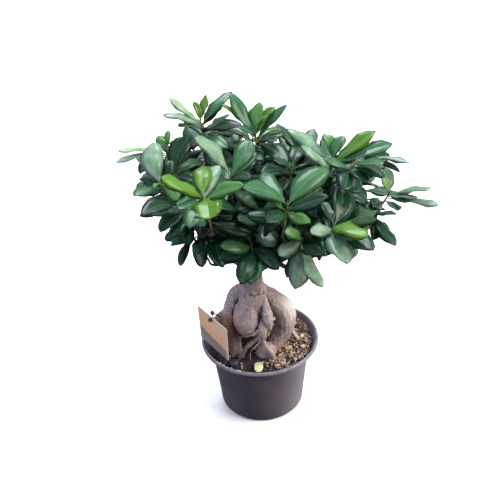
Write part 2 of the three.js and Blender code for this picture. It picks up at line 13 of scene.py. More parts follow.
import bpy
import numpy as np
from mathutils import Matrix, Vector, noise
from mathutils.bvhtree import BVHTree

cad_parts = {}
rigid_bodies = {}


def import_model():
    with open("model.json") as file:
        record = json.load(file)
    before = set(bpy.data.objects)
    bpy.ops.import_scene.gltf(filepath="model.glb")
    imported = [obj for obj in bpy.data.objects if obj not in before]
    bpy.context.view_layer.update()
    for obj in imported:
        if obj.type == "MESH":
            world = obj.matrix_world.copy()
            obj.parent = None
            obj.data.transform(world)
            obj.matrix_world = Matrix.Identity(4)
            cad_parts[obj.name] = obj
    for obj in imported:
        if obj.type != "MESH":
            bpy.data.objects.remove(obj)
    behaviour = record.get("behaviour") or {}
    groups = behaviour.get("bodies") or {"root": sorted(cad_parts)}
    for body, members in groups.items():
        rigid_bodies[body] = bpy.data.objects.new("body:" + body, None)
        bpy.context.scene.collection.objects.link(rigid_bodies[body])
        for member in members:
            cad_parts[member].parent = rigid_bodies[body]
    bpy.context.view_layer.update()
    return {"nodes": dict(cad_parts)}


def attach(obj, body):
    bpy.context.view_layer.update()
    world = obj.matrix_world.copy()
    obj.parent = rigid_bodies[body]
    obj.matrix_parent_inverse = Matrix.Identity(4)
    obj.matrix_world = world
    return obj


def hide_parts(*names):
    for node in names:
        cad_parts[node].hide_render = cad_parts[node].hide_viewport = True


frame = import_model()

# Blender works in metres. The sizes below are in millimetres, as on a drawing.
MM = 0.001
bpy.ops.object.select_all(action="DESELECT")
print("nodes in the frame:", len(frame["nodes"]))

# %% [markdown]
# ## Helpers
#
# A colour is listed as an sRGB hex value, but a shader works in linear light, so one function
# turns the first into the second. A pattern reads Object coordinates, which are in metres, so
# another works out its scale from a real size. A third adds a node with its settings and its links
# in one call, which keeps each recipe below short enough to read.

# %% Colours and nodes
def colour(hex_value):
    """The linear red, green, blue and alpha of an sRGB hex value."""
    parts = [int(hex_value[i:i + 2], 16) / 255 for i in (1, 3, 5)]
    linear = [p / 12.92 if p <= 0.04045 else ((p + 0.055) / 1.055) ** 2.4 for p in parts]
    return (*linear, 1.0)


def scale_of(size_mm):
    """The scale at which a pattern's spots are about this size."""
    return 1 / (size_mm * MM)


def wire(node, inputs):
    """Sets a node's inputs. Each is a value, or a socket or another node to link from."""
    for key, source in inputs.items():
        if isinstance(source, bpy.types.Node):
            source = next(socket for socket in source.outputs if socket.enabled)
        if isinstance(source, bpy.types.NodeSocket):
            node.id_data.links.new(source, node.inputs[key])
        else:
            node.inputs[key].default_value = source
    return node


def add_node(tree, kind, inputs=None, stops=(), **settings):
    """A new node with its settings and links. A colour ramp also takes (place, hex colour) stops."""
    node = tree.nodes.new("ShaderNode" + kind)
    for name, value in settings.items():
        setattr(node, name, value)
    if stops:
        elements = node.color_ramp.elements
        for _ in stops[2:]:
            elements.new(0.5)
        for element, (place, hex_value) in zip(elements, stops):
            element.position = place
            element.color = colour(hex_value)
    return wire(node, inputs or {})


def new_material(name, inputs):
    """A material, its nodes and its shader, with the values that are the same all over the surface."""
    material = bpy.data.materials.new(name)
    material.use_nodes = True
    shader = material.node_tree.nodes["Principled BSDF"]
    return material, material.node_tree, wire(shader, inputs)


def grainy_material(name, roughness, grain_mm, stops, relief_mm, strength, **noise_settings):
    """A material whose colour and relief both follow one noise."""
    material, tree, shader = new_material(name, {"Roughness": roughness})
    place = add_node(tree, "TexCoord").outputs["Object"]
    grain = add_node(tree, "TexNoise", {"Vector": place, "Scale": scale_of(grain_mm), **noise_settings})
    shade = add_node(tree, "ValToRGB", {0: grain}, stops)
    raised = add_node(tree, "Bump", {"Height": grain, "Distance": relief_mm * MM, "Strength": strength})
    wire(shader, {"Base Color": shade, "Normal": raised})
    return material


# %% [markdown]
# A piece is ready when its place is in its mesh, it rides on the tree's one body, it carries the
# materials of its finish, and it hides the plain solid that it stands for.

# %% Pieces
def pick(*objects):
    """Selects these objects only, and makes the first one active."""
    bpy.ops.object.select_all(action="DESELECT")
    for one in objects:
        one.select_set(True)
    bpy.context.view_layer.objects.active = objects[0]
    return objects[0]


def settle(piece):
    """Puts a piece's place, turn and scale into its mesh."""
    pick(piece)
    bpy.ops.object.transform_apply(location=True, rotation=True, scale=True)
    return piece


def modify(piece, kind, **settings):
    """Adds a modifier, sets it and applies it."""
    pick(piece)
    bpy.ops.object.modifier_add(type=kind)
    modifier = piece.modifiers[-1]
    for name, value in settings.items():
        setattr(modifier, name, value)
    bpy.ops.object.modifier_apply(modifier=modifier.name)


def join(parts):
    """Several objects as one."""
    pick(*parts)
    bpy.ops.object.join()
    return bpy.context.view_layer.objects.active


def finish_piece(piece, name, materials, nodes=()):
    """Puts the place into the mesh, gives the piece its finish and sets it in the frame."""
    settle(piece)
    piece.name = name
    piece.data.name = name
    if materials:
        piece.data.materials.clear()
        for material in materials:
            piece.data.materials.append(material)
    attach(piece, "root")
    if nodes:
        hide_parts(*nodes)
    print(f"{name}: {sum(len(face.vertices) - 2 for face in piece.data.polygons)} triangles")
    return piece


# %% Points
def from_arrays(name, points_mm, faces):
    """A mesh object from points in millimetres and faces."""
    mesh = bpy.data.meshes.new(name)
    mesh.from_pydata((np.asarray(points_mm, float) * MM).tolist(), [], faces)
    piece = bpy.data.objects.new(name, mesh)
    bpy.context.scene.collection.objects.link(piece)
    mesh.shade_smooth()
    return piece


def read_points(mesh):
    """A mesh's points in millimetres, and the way that the surface faces at each."""
    points = np.empty(len(mesh.vertices) * 3)
    mesh.vertices.foreach_get("co", points)
    normals = np.empty(len(mesh.vertices) * 3, np.float32)
    mesh.vertex_normals.foreach_get("vector", normals)
    return points.reshape(-1, 3) / MM, normals.reshape(-1, 3)


def move_points(piece, shift):
    """Moves each point of a mesh, in millimetres: shift(points, normals) gives the new points."""
    moved = shift(*read_points(piece.data))
    piece.data.vertices.foreach_set("co", (np.asarray(moved) * MM).ravel())
    piece.data.update()


def remember(piece, name, values):
    """Keeps a number for each point of a piece, which its material reads by this name."""
    attribute = piece.data.attributes.new(name, "FLOAT", "POINT")
    attribute.data.foreach_set("value", np.asarray(values, np.float32))


def lumps(points, size_mm, octaves=3, seed=0.0):
    """Soft noise from about -1 to 1 at each point, with lumps of about that size."""
    offset = Vector((seed * 7.3, seed * 3.1, seed * 5.7))
    return np.array([noise.fractal(Vector(p) / size_mm + offset, 1.0, 2.0, octaves) for p in points])


# %% [markdown]
# ## Camera and light
#
# The camera stands a little above the crown and looks down by about thirty degrees, with a slight
# roll. The light is that of a studio: a soft sky that is brightest overhead, a warm key lamp from the
# right, a weak cool one from the left, one high behind the tree that gives the top leaves their pale
# glare, and a bright panel low at the right. The side that faces the camera stays in half shade, so
# the inside of the crown goes dark.

# %% Camera
CAMERA_AT = (-7.4, -706.3, 657.8)
CAMERA_PITCH = 31.3
CAMERA_ROLL = -2.8
LENS = 50
SENSOR = 36

turn = Matrix.Rotation(math.radians(90 - CAMERA_PITCH), 4, "X")
turn = turn @ Matrix.Rotation(math.radians(CAMERA_ROLL), 4, "Z")
bpy.ops.object.camera_add()
camera = bpy.context.active_object
camera.matrix_world = Matrix.Translation(Vector(CAMERA_AT) * MM) @ turn
camera.data.lens = LENS
camera.data.sensor_width = SENSOR
bpy.context.scene.camera = camera
print("camera:", LENS, "mm lens, looking down by", CAMERA_PITCH, "degrees")

# %% Lamps
def heading(azimuth, elevation):
    """A unit vector from two angles in degrees: round from +X, and up from level."""
    level, climb = math.radians(azimuth), math.radians(elevation)
    return Vector((math.cos(climb) * math.cos(level), math.cos(climb) * math.sin(level), math.sin(climb)))


def far_light(name, azimuth, elevation, strength, softness, hex_value):
    """A lamp so far away that it lights all of the floor alike. The angles are in degrees."""
    bpy.ops.object.light_add(type="SUN")
    light = bpy.context.active_object
    light.name = name
    light.data.energy = strength
    light.data.angle = math.radians(softness)
    light.data.color = colour(hex_value)[:3]
    light.rotation_euler = (-heading(azimuth, elevation)).to_track_quat("-Z", "Y").to_euler()
    print(f"{name}: strength {strength}, {elevation} degrees up")


far_light("warm_key", -16, 35, 4.8, 40, "#fff4ea")
far_light("cool_side", 212, 33, 1.6, 40, "#d2daff")
far_light("top_back", 90, 58, 3.6, 34, "#f2f6ff")

# %% Sky
SKY_BRIGHTEST = (0.0, 0.25, 0.97)
LOW_PANEL = (0.82, 0.3, -0.49)

sky = bpy.data.worlds.new("studio_sky")
bpy.context.scene.world = sky
sky.use_nodes = True
tree = sky.node_tree
way = add_node(tree, "TexCoord").outputs["Generated"]
overhead = add_node(tree, "VectorMath", {0: way, 1: SKY_BRIGHTEST}, operation="DOT_PRODUCT")
glow = add_node(tree, "MapRange", {"Value": overhead, "From Min": -0.9, "From Max": 0.9,
                                   "To Min": 0.1, "To Max": 0.7})
beside = add_node(tree, "VectorMath", {0: way, 1: LOW_PANEL}, operation="DOT_PRODUCT")
panel = add_node(tree, "MapRange", {"Value": beside, "From Min": 0.6, "To Max": 1.6})
both_glows = add_node(tree, "Math", {0: glow, 1: panel}, operation="ADD")
wire(tree.nodes["Background"], {"Color": colour("#f1f4fb"), "Strength": both_glows})
bpy.context.scene.view_settings.view_transform = "Standard"
print("sky: brightest towards", SKY_BRIGHTEST)

# %% Floor
# The floor is matt white paint. It takes the pot's shadow but throws no light back up at the tree.
floor_paint, tree, shader = new_material("studio_floor_paint", {"Roughness": 0.9})
grain = add_node(tree, "TexNoise", {"Scale": 3.0})
shade = add_node(tree, "ValToRGB", {0: grain}, [(0.3, "#ececec"), (0.7, "#efefef")])
wire(shader, {"Base Color": shade})
bpy.ops.mesh.primitive_circle_add(vertices=64, radius=8, fill_type="NGON")
floor = bpy.context.active_object
floor.name = "floor"
floor.data.materials.append(floor_paint)
floor.visible_diffuse = False
floor.visible_glossy = False
print("floor:", floor.dimensions.x, "m across")

# %% [markdown]
# ## The pot
#
# A nursery pot is injection-moulded polypropylene: a thin tapering wall that flares out under a small
# rolled lip, and a foot with drain holes. All of it is round, so its outline is drawn once as a chain
# of points and spun about the upright axis.

# %% The pot's outline, spun
POT_SPIN_STEPS = 120


def arc(centre, radius, start, end, steps):
    """Points on an arc in the radius and height plane, with angles in degrees."""
    angles = [math.radians(start + (end - start) * i / steps) for i in range(steps + 1)]
    return [(centre[0] + radius * math.cos(a), centre[1] + radius * math.sin(a)) for a in angles]


def pot_outline():
    """Radius and height of the moulding, from under the middle round to the inner floor."""
    outside = [(0, 0.2), (18, 0.2), (20, 2.4), (42, 2.4), (44.2, 0.2), (46, 0.0)]
    outside += arc((48.2, 6.0), 6.0, -90, -8, 8)
    outside += [(55.6, 20), (57.1, 34), (58.6, 48), (60.1, 62), (61.5, 76)]
    flare = [(62.1, 79.4), (63.3, 82.4), (65.0, 85.2), (67.1, 87.8), (69.4, 90.1), (71.8, 92.2)]
    rim = [(72.9, 93.3), (73.2, 94.2), (74.1, 94.9)] + arc((72.9, 97.0), 2.1, -35, 40, 6)
    rim += arc((73.2, 98.4), 1.6, 25, 100, 5) + [(72.2, 99.9), (71.5, 99.3), (71.1, 98.4)]
    inside = [(70.0, 95.8), (68.0, 92.4), (65.7, 88.8), (62.6, 84), (60.1, 78.4), (56.6, 44), (52.8, 10)]
    return outside + flare + rim + inside + [(49, 4.9), (0, 4.9)]


def spun(outline, steps):
    """A closed round body from its outline."""
    mesh = bpy.data.meshes.new("outline")
    points = [(r * MM, 0, z * MM) for r, z in outline]
    mesh.from_pydata(points, [(i, i + 1) for i in range(len(points) - 1)], [])
    body = bpy.data.objects.new("outline", mesh)
    bpy.context.scene.collection.objects.link(body)
    pick(body)
    bpy.ops.object.mode_set(mode="EDIT")
    bpy.ops.mesh.select_all(action="SELECT")
    bpy.ops.mesh.spin(steps=steps, angle=2 * math.pi, center=(0, 0, 0), axis=(0, 0, 1))
    bpy.ops.mesh.select_all(action="SELECT")
    bpy.ops.mesh.remove_doubles(threshold=0.01 * MM)
    bpy.ops.mesh.normals_make_consistent(inside=False)
    bpy.ops.object.mode_set(mode="OBJECT")
    body.data.shade_smooth()
    return body


pot = spun(pot_outline(), POT_SPIN_STEPS)
print("pot's outline:", len(pot_outline()), "points")

# %% Drain holes
DRAIN_HOLES = 5
DRAIN_RADIUS = 4
DRAIN_CIRCLE = 31
SMOOTH_BELOW = 38

drills = []
for i in range(DRAIN_HOLES):
    angle = 2 * math.pi * (i + 0.5) / DRAIN_HOLES
    at = Vector((DRAIN_CIRCLE * math.cos(angle), DRAIN_CIRCLE * math.sin(angle), 0)) * MM
    bpy.ops.mesh.primitive_cylinder_add(vertices=24, radius=DRAIN_RADIUS * MM, depth=0.02, location=at)
    drills.append(bpy.context.active_object)
drill = join(drills)
modify(pot, "BOOLEAN", operation="DIFFERENCE", solver="EXACT", object=drill)
bpy.data.objects.remove(drill)
pick(pot)
bpy.ops.object.shade_smooth_by_angle(angle=math.radians(SMOOTH_BELOW))
print("drain holes:", len(drills))

# %% [markdown]
# Moulded polypropylene is dull with a broad soft sheen. It is lighter near the rim, partly worn by
# handling and partly a painted sheen; the mould has left faint rings, and dried splashes of water have
# left pale spots. These could be painted on a picture, but noise that reads the pot's own coordinates
# has no seam and no end.

# %% Polypropylene
# A wave texture turns by twenty radians in each unit of its scale. The skin's fine orange peel is
# drawn about three times as coarse as it is, so that it shows.
RING_SPACING = 6.545
WAVE_RADIANS = 20

pot_plastic, tree, shader = new_material("moulded_polypropylene", {"Roughness": 0.42, "IOR": 1.49})
place = add_node(tree, "TexCoord").outputs["Object"]
height = add_node(tree, "SeparateXYZ", {0: place}).outputs["Z"]
cloud = add_node(tree, "TexNoise", {"Vector": place, "Scale": scale_of(45.5), "Detail": 4.0})
base = add_node(tree, "ValToRGB", {0: cloud}, [(0.35, "#433c45"), (0.6, "#50484f"), (0.8, "#5e5459")])
# Lighter towards the rim: partly wear from handling, partly a painted sheen on the rim.
worn = add_node(tree, "MapRange", {"Value": height, "From Min": 88 * MM, "From Max": 100 * MM})
scuff = add_node(tree, "TexNoise", {"Vector": place, "Scale": scale_of(6.25), "Detail": 3.0})
rim_wear_and_painted_sheen = add_node(tree, "Math", {0: worn, 1: scuff}, operation="MULTIPLY")
rim_rubbed_and_sheen = add_node(tree, "Mix", {"Factor": rim_wear_and_painted_sheen, "A": base, "B": colour("#9b99a6")}, data_type="RGBA")
splashes = add_node(tree, "TexVoronoi", {"Vector": place, "Scale": scale_of(7.69)})
spots = add_node(tree, "ValToRGB", {0: splashes}, [(0.05, "#7a7a7a"), (0.11, "#000000")])
splashed = add_node(tree, "Math", {0: spots, 1: scuff}, operation="MULTIPLY")
spotted = add_node(tree, "Mix", {"Factor": splashed, "A": rim_rubbed_and_sheen, "B": colour("#c9c6cf")},
                   data_type="RGBA")
rough = add_node(tree, "MapRange", {"Value": cloud, "To Min": 0.34, "To Max": 0.5})
ring_scale = 2 * math.pi / WAVE_RADIANS / (RING_SPACING * MM)
rings = add_node(tree, "TexWave", {"Vector": place, "Scale": ring_scale, "Distortion": 0.4},
                 wave_type="BANDS", bands_direction="Z").outputs["Fac"]
ringed = add_node(tree, "Bump", {"Height": rings, "Distance": 0.05 * MM, "Strength": 0.35})
orange_peel = add_node(tree, "TexNoise", {"Vector": place, "Scale": scale_of(1.11), "Detail": 2.0})
peeled = add_node(tree, "Bump", {"Height": orange_peel, "Distance": 0.06 * MM, "Strength": 0.4,
                                 "Normal": ringed})
wire(shader, {"Base Color": spotted, "Roughness": rough, "Normal": peeled})
finish_piece(pot, "nursery_pot", [pot_plastic], ["pot"])

# %% [markdown]
# ## The soil
#
# The soil is dark peat with bark and gravel chips on top, thickest at the right and behind. The
# peat is one body that fills the pot, spun like the pot and roughened by noise. A chip is modelled
# once for each kind of stuff and then copied, turned, squashed and sunk into the peat.

# %% Peat
SOIL_TOP = 88
SOIL_RADIUS = 64.4
PEAT_RINGS = 52
PEAT_SPIN_STEPS = 150
PEAT_SWELL = 16
PEAT_CRUMB = 3.2
BANK_START = 54


def peat_outline():
    """Radius and height: the floor, the wall, and then fine rings over the top to the middle."""
    side = [(0, 5.2), (47, 5.2), (51.4, 9.6), (58.9, 78), (63.2, 86.2)]
    top = [(SOIL_RADIUS * (1 - i / (PEAT_RINGS + 1)) - 0.6, SOIL_TOP) for i in range(PEAT_RINGS)]
    return side + top + [(0, SOIL_TOP)]


def peat_height(x, y):
    """How far the peat's top stands above or below its mean level. It is banked up at the right."""
    swell = noise.fractal(Vector((x, y, 0)) / PEAT_SWELL, 1.0, 2.0, 2)
    crumb = noise.fractal(Vector((x, y, 40)) / PEAT_CRUMB, 1.0, 2.0, 3)
    bank = max(0, math.hypot(x, y) - BANK_START) * min(max(x / 30, 0), 1)
    return 1.1 * swell + 0.9 * crumb + 0.4 * bank - 0.6


def crumble(points, normals):
    """Raises and lowers the top of the peat only."""
    points = points.copy()
    for point in points:
        if point[2] > SOIL_TOP - 0.5:
            point[2] += peat_height(point[0], point[1])
    return points


peat = spun(peat_outline(), PEAT_SPIN_STEPS)
move_points(peat, crumble)

# Moist peat is matt and nearly black. It is paler on top of its crumbs, partly dry fibres and partly
# a painted highlight.
peat_mix = grainy_material(
    "moist_peat", 0.93, 2.38, [(0.36, "#08070a"), (0.5, "#18141a"), (0.6, "#3a3037"), (0.7, "#766668")],
    0.9, 0.8, Detail=6.0, Roughness=0.7)
finish_piece(peat, "peat", [peat_mix], ["soil"])

# %% [markdown]
# ## The woody body
#
# The swollen roots, the neck and the limbs grew as one piece. Each root is a tube that follows a
# smooth curve and tapers, and each swelling is a stretched ball. A voxel remesh melts them together,
# as the bark did when they grew into each other, and leaves a crease wherever two of them meet.

# %% Smooth curves
def catmull_rom(points, place):
    """A point on the smooth curve through the points, at a place from 0 to 1."""
    points = [Vector(p) for p in points]
    points = [2 * points[0] - points[1], *points, 2 * points[-1] - points[-2]]
    spans = len(points) - 3
    index = min(int(place * spans), spans - 1)
    t = place * spans - index
    p0, p1, p2, p3 = points[index:index + 4]
    d0, d1, d2 = ((b - a).length ** 0.5 for a, b in ((p0, p1), (p1, p2), (p2, p3)))
    leave = ((p1 - p0) / d0 - (p2 - p0) / (d0 + d1) + (p2 - p1) / d1) * d1
    arrive = ((p2 - p1) / d1 - (p3 - p1) / (d1 + d2) + (p3 - p2) / d2) * d1
    c2 = -3 * p1 + 3 * p2 - 2 * leave - arrive
    c3 = 2 * p1 - 2 * p2 + leave + arrive
    return p1 + leave * t + c2 * t ** 2 + c3 * t ** 3


def even_route(points, count):
    """Points at equal distances along the smooth curve."""
    fine = np.array([catmull_rom(points, i / 200) for i in range(201)])
    run = np.concatenate([[0], np.cumsum(np.linalg.norm(np.diff(fine, axis=0), axis=1))])
    stops = np.linspace(0, run[-1], count)
    return np.stack([np.interp(stops, run, fine[:, k]) for k in range(3)], axis=1)


def tube(points, radii, count=40, sides_step=4):
    """A closed tapering tube along the smooth curve, with its radii given at equal distances."""
    route = even_route(points, count)
    widths = np.interp(np.linspace(0, 1, count), np.linspace(0, 1, len(radii)), radii)
    curve = bpy.data.curves.new("tube", "CURVE")
    curve.dimensions = "3D"
    curve.bevel_depth = MM
    curve.bevel_resolution = sides_step
    curve.use_fill_caps = True
    spline = curve.splines.new("POLY")
    spline.points.add(count - 1)
    for point, spot, width in zip(spline.points, route, widths):
        point.co = (*(Vector(spot) * MM), 1)
        point.radius = width
    piece = bpy.data.objects.new("tube", curve)
    bpy.context.scene.collection.objects.link(piece)
    pick(piece)
    bpy.ops.object.convert(target="MESH")
    return piece


# %% Roots and swellings
SWELLINGS = [
    {"centre": (-5, -4, 161), "size": (24, 20, 21)},
    {"centre": (-15, -22, 146), "size": (17, 18, 27), "lean": 4},
    {"centre": (-6, -19, 163), "size": (18, 13, 21)},
    {"centre": (-6, 4, 128), "size": (20, 16, 34)},
    {"centre": (7.5, -21, 89), "size": (13.5, 10.5, 15), "lean": 6},
    {"centre": (-33, -11, 98), "size": (9.5, 9, 20), "lean": -8},
]
ROOTS = {
    "neck": ([(-5, -6, 158), (-7, -11, 180), (-7, -12, 195), (-5, -9, 214)], [26, 17, 13, 12]),
    "left_arch": (
        [(-10, 0, 171), (-26, -4, 165.5), (-34.5, -8, 153.5), (-37.8, -10, 136), (-37.8, -12.5, 118),
         (-33.5, -15, 101), (-30.5, -17, 74)],
        [8, 9, 8.5, 8.5, 8.5, 9, 9],
    ),
    "left_side": (
        [(-37, -3, 141), (-48, 2, 130), (-54, 6, 118), (-55, 9, 100), (-52, 10, 76)],
        [7, 6.5, 6, 6, 5],
    ),
    "right_arch": (
        [(2, -8, 169), (16, -9, 162.5), (27.5, -9.5, 152.5), (33.5, -8, 138), (31.5, -8, 121),
         (24.5, -10, 105), (13, -15, 91), (5, -19, 76)],
        [11, 12, 12.5, 12.5, 12.5, 11.5, 10, 9],
    ),
    "finger": (
        [(5, -20, 177), (8.5, -29, 162), (9.8, -34.5, 151), (11.5, -36, 141.5), (12.7, -34.5, 133.5)],
        [3, 5, 6.4, 5, 2],
    ),
    "twisted": (
        [(2, -28, 148), (4, -34.5, 137), (3.2, -36, 129.5), (2.4, -35, 122.2), (4.2, -34.5, 114.3),
         (8.9, -34, 104.1), (14.3, -34.5, 95.4), (19.5, -36, 80)],
        [3, 6, 5.2, 2.4, 2.8, 3, 2.6, 2.4],
    ),
    "strand": (
        [(5, -6, 128), (3, -20, 120), (-2.9, -28, 116.6), (-10.6, -31, 112.4), (-18.4, -30, 103.3),
         (-29, -25, 78)],
        [3.4, 3, 3, 3.2, 3.2],
    ),
    "thin_under_bulb": (
        [(3, -32, 138), (-3.7, -37, 134.6), (-8.2, -38, 130.6), (-15, -36, 127), (-21.2, -30, 122),
         (-34, -16, 112)],
        [1.4, 1.3, 1.3, 1.4],
    ),
    "thin_in_front": (
        [(2.6, -34.4, 120), (-5.1, -35.5, 111.7), (-11, -35.5, 105), (-13.5, -34, 97.5), (-13, -32, 76)],
        [1.4, 1.3, 1.3, 1.4],
    ),
    "back_left": (
        [(-12, 2, 172), (-26, 14, 154), (-33, 22, 126), (-31, 27, 98), (-28, 29, 72)],
        [10, 12, 11.5, 10.5, 8],
    ),
    "back_middle": (
        [(-5, 2, 172), (-7, 20, 152), (-8, 30, 122), (-5, 33, 96), (-3, 34, 72)],
        [11, 12, 12, 10.5, 8],
    ),
    "back_right": (
        [(3, 0, 168), (18, 8, 154), (27, 15, 130), (30, 21, 102), (28, 24, 72)],
        [9, 9.5, 8.5, 8.5, 7],
    ),
}


def swelling(centre, size, lean=0):
    """A stretched ball that leans by a few degrees."""
    bpy.ops.mesh.primitive_uv_sphere_add(segments=48, ring_count=32, radius=1)
    ball = bpy.context.active_object
    ball.scale = Vector(size) * MM
    ball.rotation_euler = (0, math.radians(lean), 0)
    ball.location = Vector(centre) * MM
    return settle(ball)


ROOT_VOXEL = 0.95

parts = [swelling(**one) for one in SWELLINGS]
parts += [tube(points, radii) for points, radii in ROOTS.values()]
body = join(parts)
modify(body, "REMESH", mode="VOXEL", voxel_size=ROOT_VOXEL * MM, use_smooth_shade=True)
modify(body, "SMOOTH", factor=0.5, iterations=3)
print("woody body:", len(body.data.vertices), "points")

# %% [markdown]
# The bark shows how the wood under it swelled. The points are moved out and in by soft noise: broad
# swellings, wrinkles along and across the roots, and small pimples. Then each point remembers how
# deep it lies in a crease, so that painted shade can darken the bark there.

# %% Swellings and wrinkles
CREASE_REACH = 6
CREASE_DEPTH = 0.8
CREASE_LEVEL = 0.25


def grown(points, normals):
    """Lumps, wrinkles along and across the roots, and pimples that stand out most above."""
    broad = lumps(points, 17, 2, 1) * 0.9
    wrinkles = lumps(points * [1, 1, 0.22], 3.4, 3, 2) * 0.55
    across = lumps(points * [0.3, 0.3, 1], 2.6, 2, 3) * 0.16
    pimples = np.maximum(lumps(points, 2.4, 2, 4), 0.12) * np.interp(points[:, 2], [150, 172], [0.45, 1.3])
    return points + normals * (broad + wrinkles + across + pimples)[:, None]


def edge_means(piece, values):
    """The mean of a value over each point's neighbours."""
    edges = np.empty(len(piece.data.edges) * 2, np.int32)
    piece.data.edges.foreach_get("vertices", edges)
    a, b = edges.reshape(-1, 2).T
    total = np.zeros(values.shape)
    np.add.at(total, a, values[b])
    np.add.at(total, b, values[a])
    share = np.bincount(edges, minlength=len(piece.data.vertices))
    return total / (share[:, None] if values.ndim > 1 else share)


def remember_creases(piece):
    """Keeps, for each point, how deep it lies below the smoothed surface, from 0 to 1."""
    points, normals = read_points(piece.data)
    smooth = points
    for _ in range(CREASE_REACH):
        smooth = edge_means(piece, smooth)
    depth = ((smooth - points) * normals).sum(axis=1)
    for _ in range(2):
        depth = edge_means(piece, depth)
    remember(piece, "crease", np.clip(depth / CREASE_DEPTH + CREASE_LEVEL, 0, 1))
    print("mean crease depth:", round(float(np.abs(depth).mean()), 2), "mm")


move_points(body, grown)
remember_creases(body)

# %% [markdown]
# Fig bark is thin and smooth with a dull satin sheen. It is pinkish grey and dotted with corky
# breathing pores; painted shade darkens its creases, and painted highlights lighten the arches' outer
# sides. One recipe makes the bark of the roots and that of the limbs, which is younger and browner, so
# that both age in the same way.

# %% Bark
def make_bark(name, stops, pore_strength, marks_and_painted_light=()):
    """The bark's material: its broad colours, how strongly its pores show, and single marks, which are a
    bruise, painted shade or painted highlights. Painted shade also darkens its creases.
    """
    bark, tree, shader = new_material(name, {"Roughness": 0.6})
    place = add_node(tree, "TexCoord").outputs["Object"]
    broad = add_node(tree, "TexNoise", {"Vector": place, "Scale": scale_of(23.8), "Detail": 5.0,
                                        "Roughness": 0.6})
    base = add_node(tree, "ValToRGB", {0: broad}, stops)
    fine = add_node(tree, "TexNoise", {"Vector": place, "Scale": scale_of(2.325), "Detail": 4.0,
                                       "Roughness": 0.7})
    mottle = add_node(tree, "ValToRGB", {0: fine}, [(0.32, "#6c5d58"), (0.5, "#cdc6c2"), (0.66, "#ffffff")])
    mixed = add_node(tree, "Mix", {"Factor": 0.7, "A": base, "B": mottle},
                     data_type="RGBA", blend_type="MULTIPLY")
    squeezed = add_node(tree, "Mapping", {"Vector": place, "Scale": (1.0, 1.0, 1.7)})
    pores = add_node(tree, "TexVoronoi", {"Vector": squeezed, "Scale": scale_of(3.85)})
    dots = add_node(tree, "ValToRGB", {0: pores}, [(0.16, "#ffffff"), (0.3, "#000000")])
    patches = add_node(tree, "MapRange", {"Value": broad, "From Min": 0.42, "From Max": 0.6,
                                          "To Max": pore_strength})
    pored = add_node(tree, "Math", {0: dots, 1: patches}, operation="MULTIPLY")
    dotted = add_node(tree, "Mix", {"Factor": pored, "A": mixed, "B": colour("#54423d")},
                      data_type="RGBA")
    # Painted shade: the bark is darkened in its creases.
    crease = add_node(tree, "Attribute", attribute_name="crease").outputs["Fac"]
    depth = add_node(tree, "ValToRGB", {0: crease}, [(0.28, "#000000"), (0.62, "#ffffff")])
    painted_light_and_marks = add_node(tree, "Mix", {"Factor": depth, "A": dotted, "B": colour("#2c2322")},
                      data_type="RGBA")
    # Single marks: a bruise, painted shade and painted highlights.
    for spot, reach, strength, mark_hex in marks_and_painted_light:
        away = add_node(tree, "VectorMath", {0: place, 1: Vector(spot) * MM}, operation="DISTANCE")
        near = add_node(tree, "MapRange", {"Value": away, "From Min": reach * MM,
                                           "From Max": 0.3 * reach * MM, "To Max": strength})
        painted_light_and_marks = add_node(tree, "Mix", {"Factor": near, "A": painted_light_and_marks, "B": colour(mark_hex)},
                          data_type="RGBA")
    skin = add_node(tree, "Bump", {"Height": fine, "Distance": 0.6 * MM, "Strength": 0.8})
    pitted = add_node(tree, "Bump", {"Height": dots, "Distance": 0.35 * MM, "Strength": 0.5,
                                     "Normal": skin})
    wire(shader, {"Base Color": painted_light_and_marks, "Normal": pitted})
    return bark


# Marks on the roots: where each is, its reach in millimetres, its share and its colour. The first dark
# one is a bruise, and the next two are a small pit in painted shade; the other dark ones are painted
# shade on the neck and in the folds between the roots. The pale ones are painted highlights on the
# arches' outer sides.
BARK_MARKS_AND_PAINTED_LIGHT = [
    ((-14, -35, 167), 8, 0.4, "#3a2e2e"), ((-9, -27, 182), 3.2, 0.6, "#3a2e2e"),
    ((-5, -27, 180), 3, 0.6, "#3a2e2e"), ((-7, -24, 196), 20, 0.34, "#3a2e2e"),
    ((-27, -20, 132), 17, 0.4, "#3a2e2e"), ((-18, -24, 114), 17, 0.62, "#3a2e2e"),
    ((24, -22, 124), 13, 0.4, "#4a3632"), ((-38, -22, 121), 26, 0.55, "#3f3336"),
    ((35, -21, 150), 24, 0.46, "#efe4e1"), ((-46, -6, 152), 13, 0.5, "#d3d3de"),
]
ROOT_COLOURS = [(0.3, "#8f7f7d"), (0.45, "#ab9a99"), (0.58, "#bdadac"), (0.75, "#cfc1c0")]
LIMB_COLOURS = [(0.3, "#4c413c"), (0.5, "#63564f"), (0.7, "#7b6d64")]
root_bark = make_bark("smooth_fig_root_bark", ROOT_COLOURS, 0.8, BARK_MARKS_AND_PAINTED_LIGHT)
limb_bark = make_bark("fig_limb_bark", LIMB_COLOURS, 0.5)

finish_piece(body, "swollen_roots", [root_bark], ["trunk"])

# %% [markdown]
# ## Limbs and shoots
#
# Limbs fork off the top of the neck, and from them a branchlet climbs into the foot of each leafy
# shoot. The shoots are listed once, with the tip of each and its leaves, because the branchlets,
# the stems and the leaves all start from the same places.

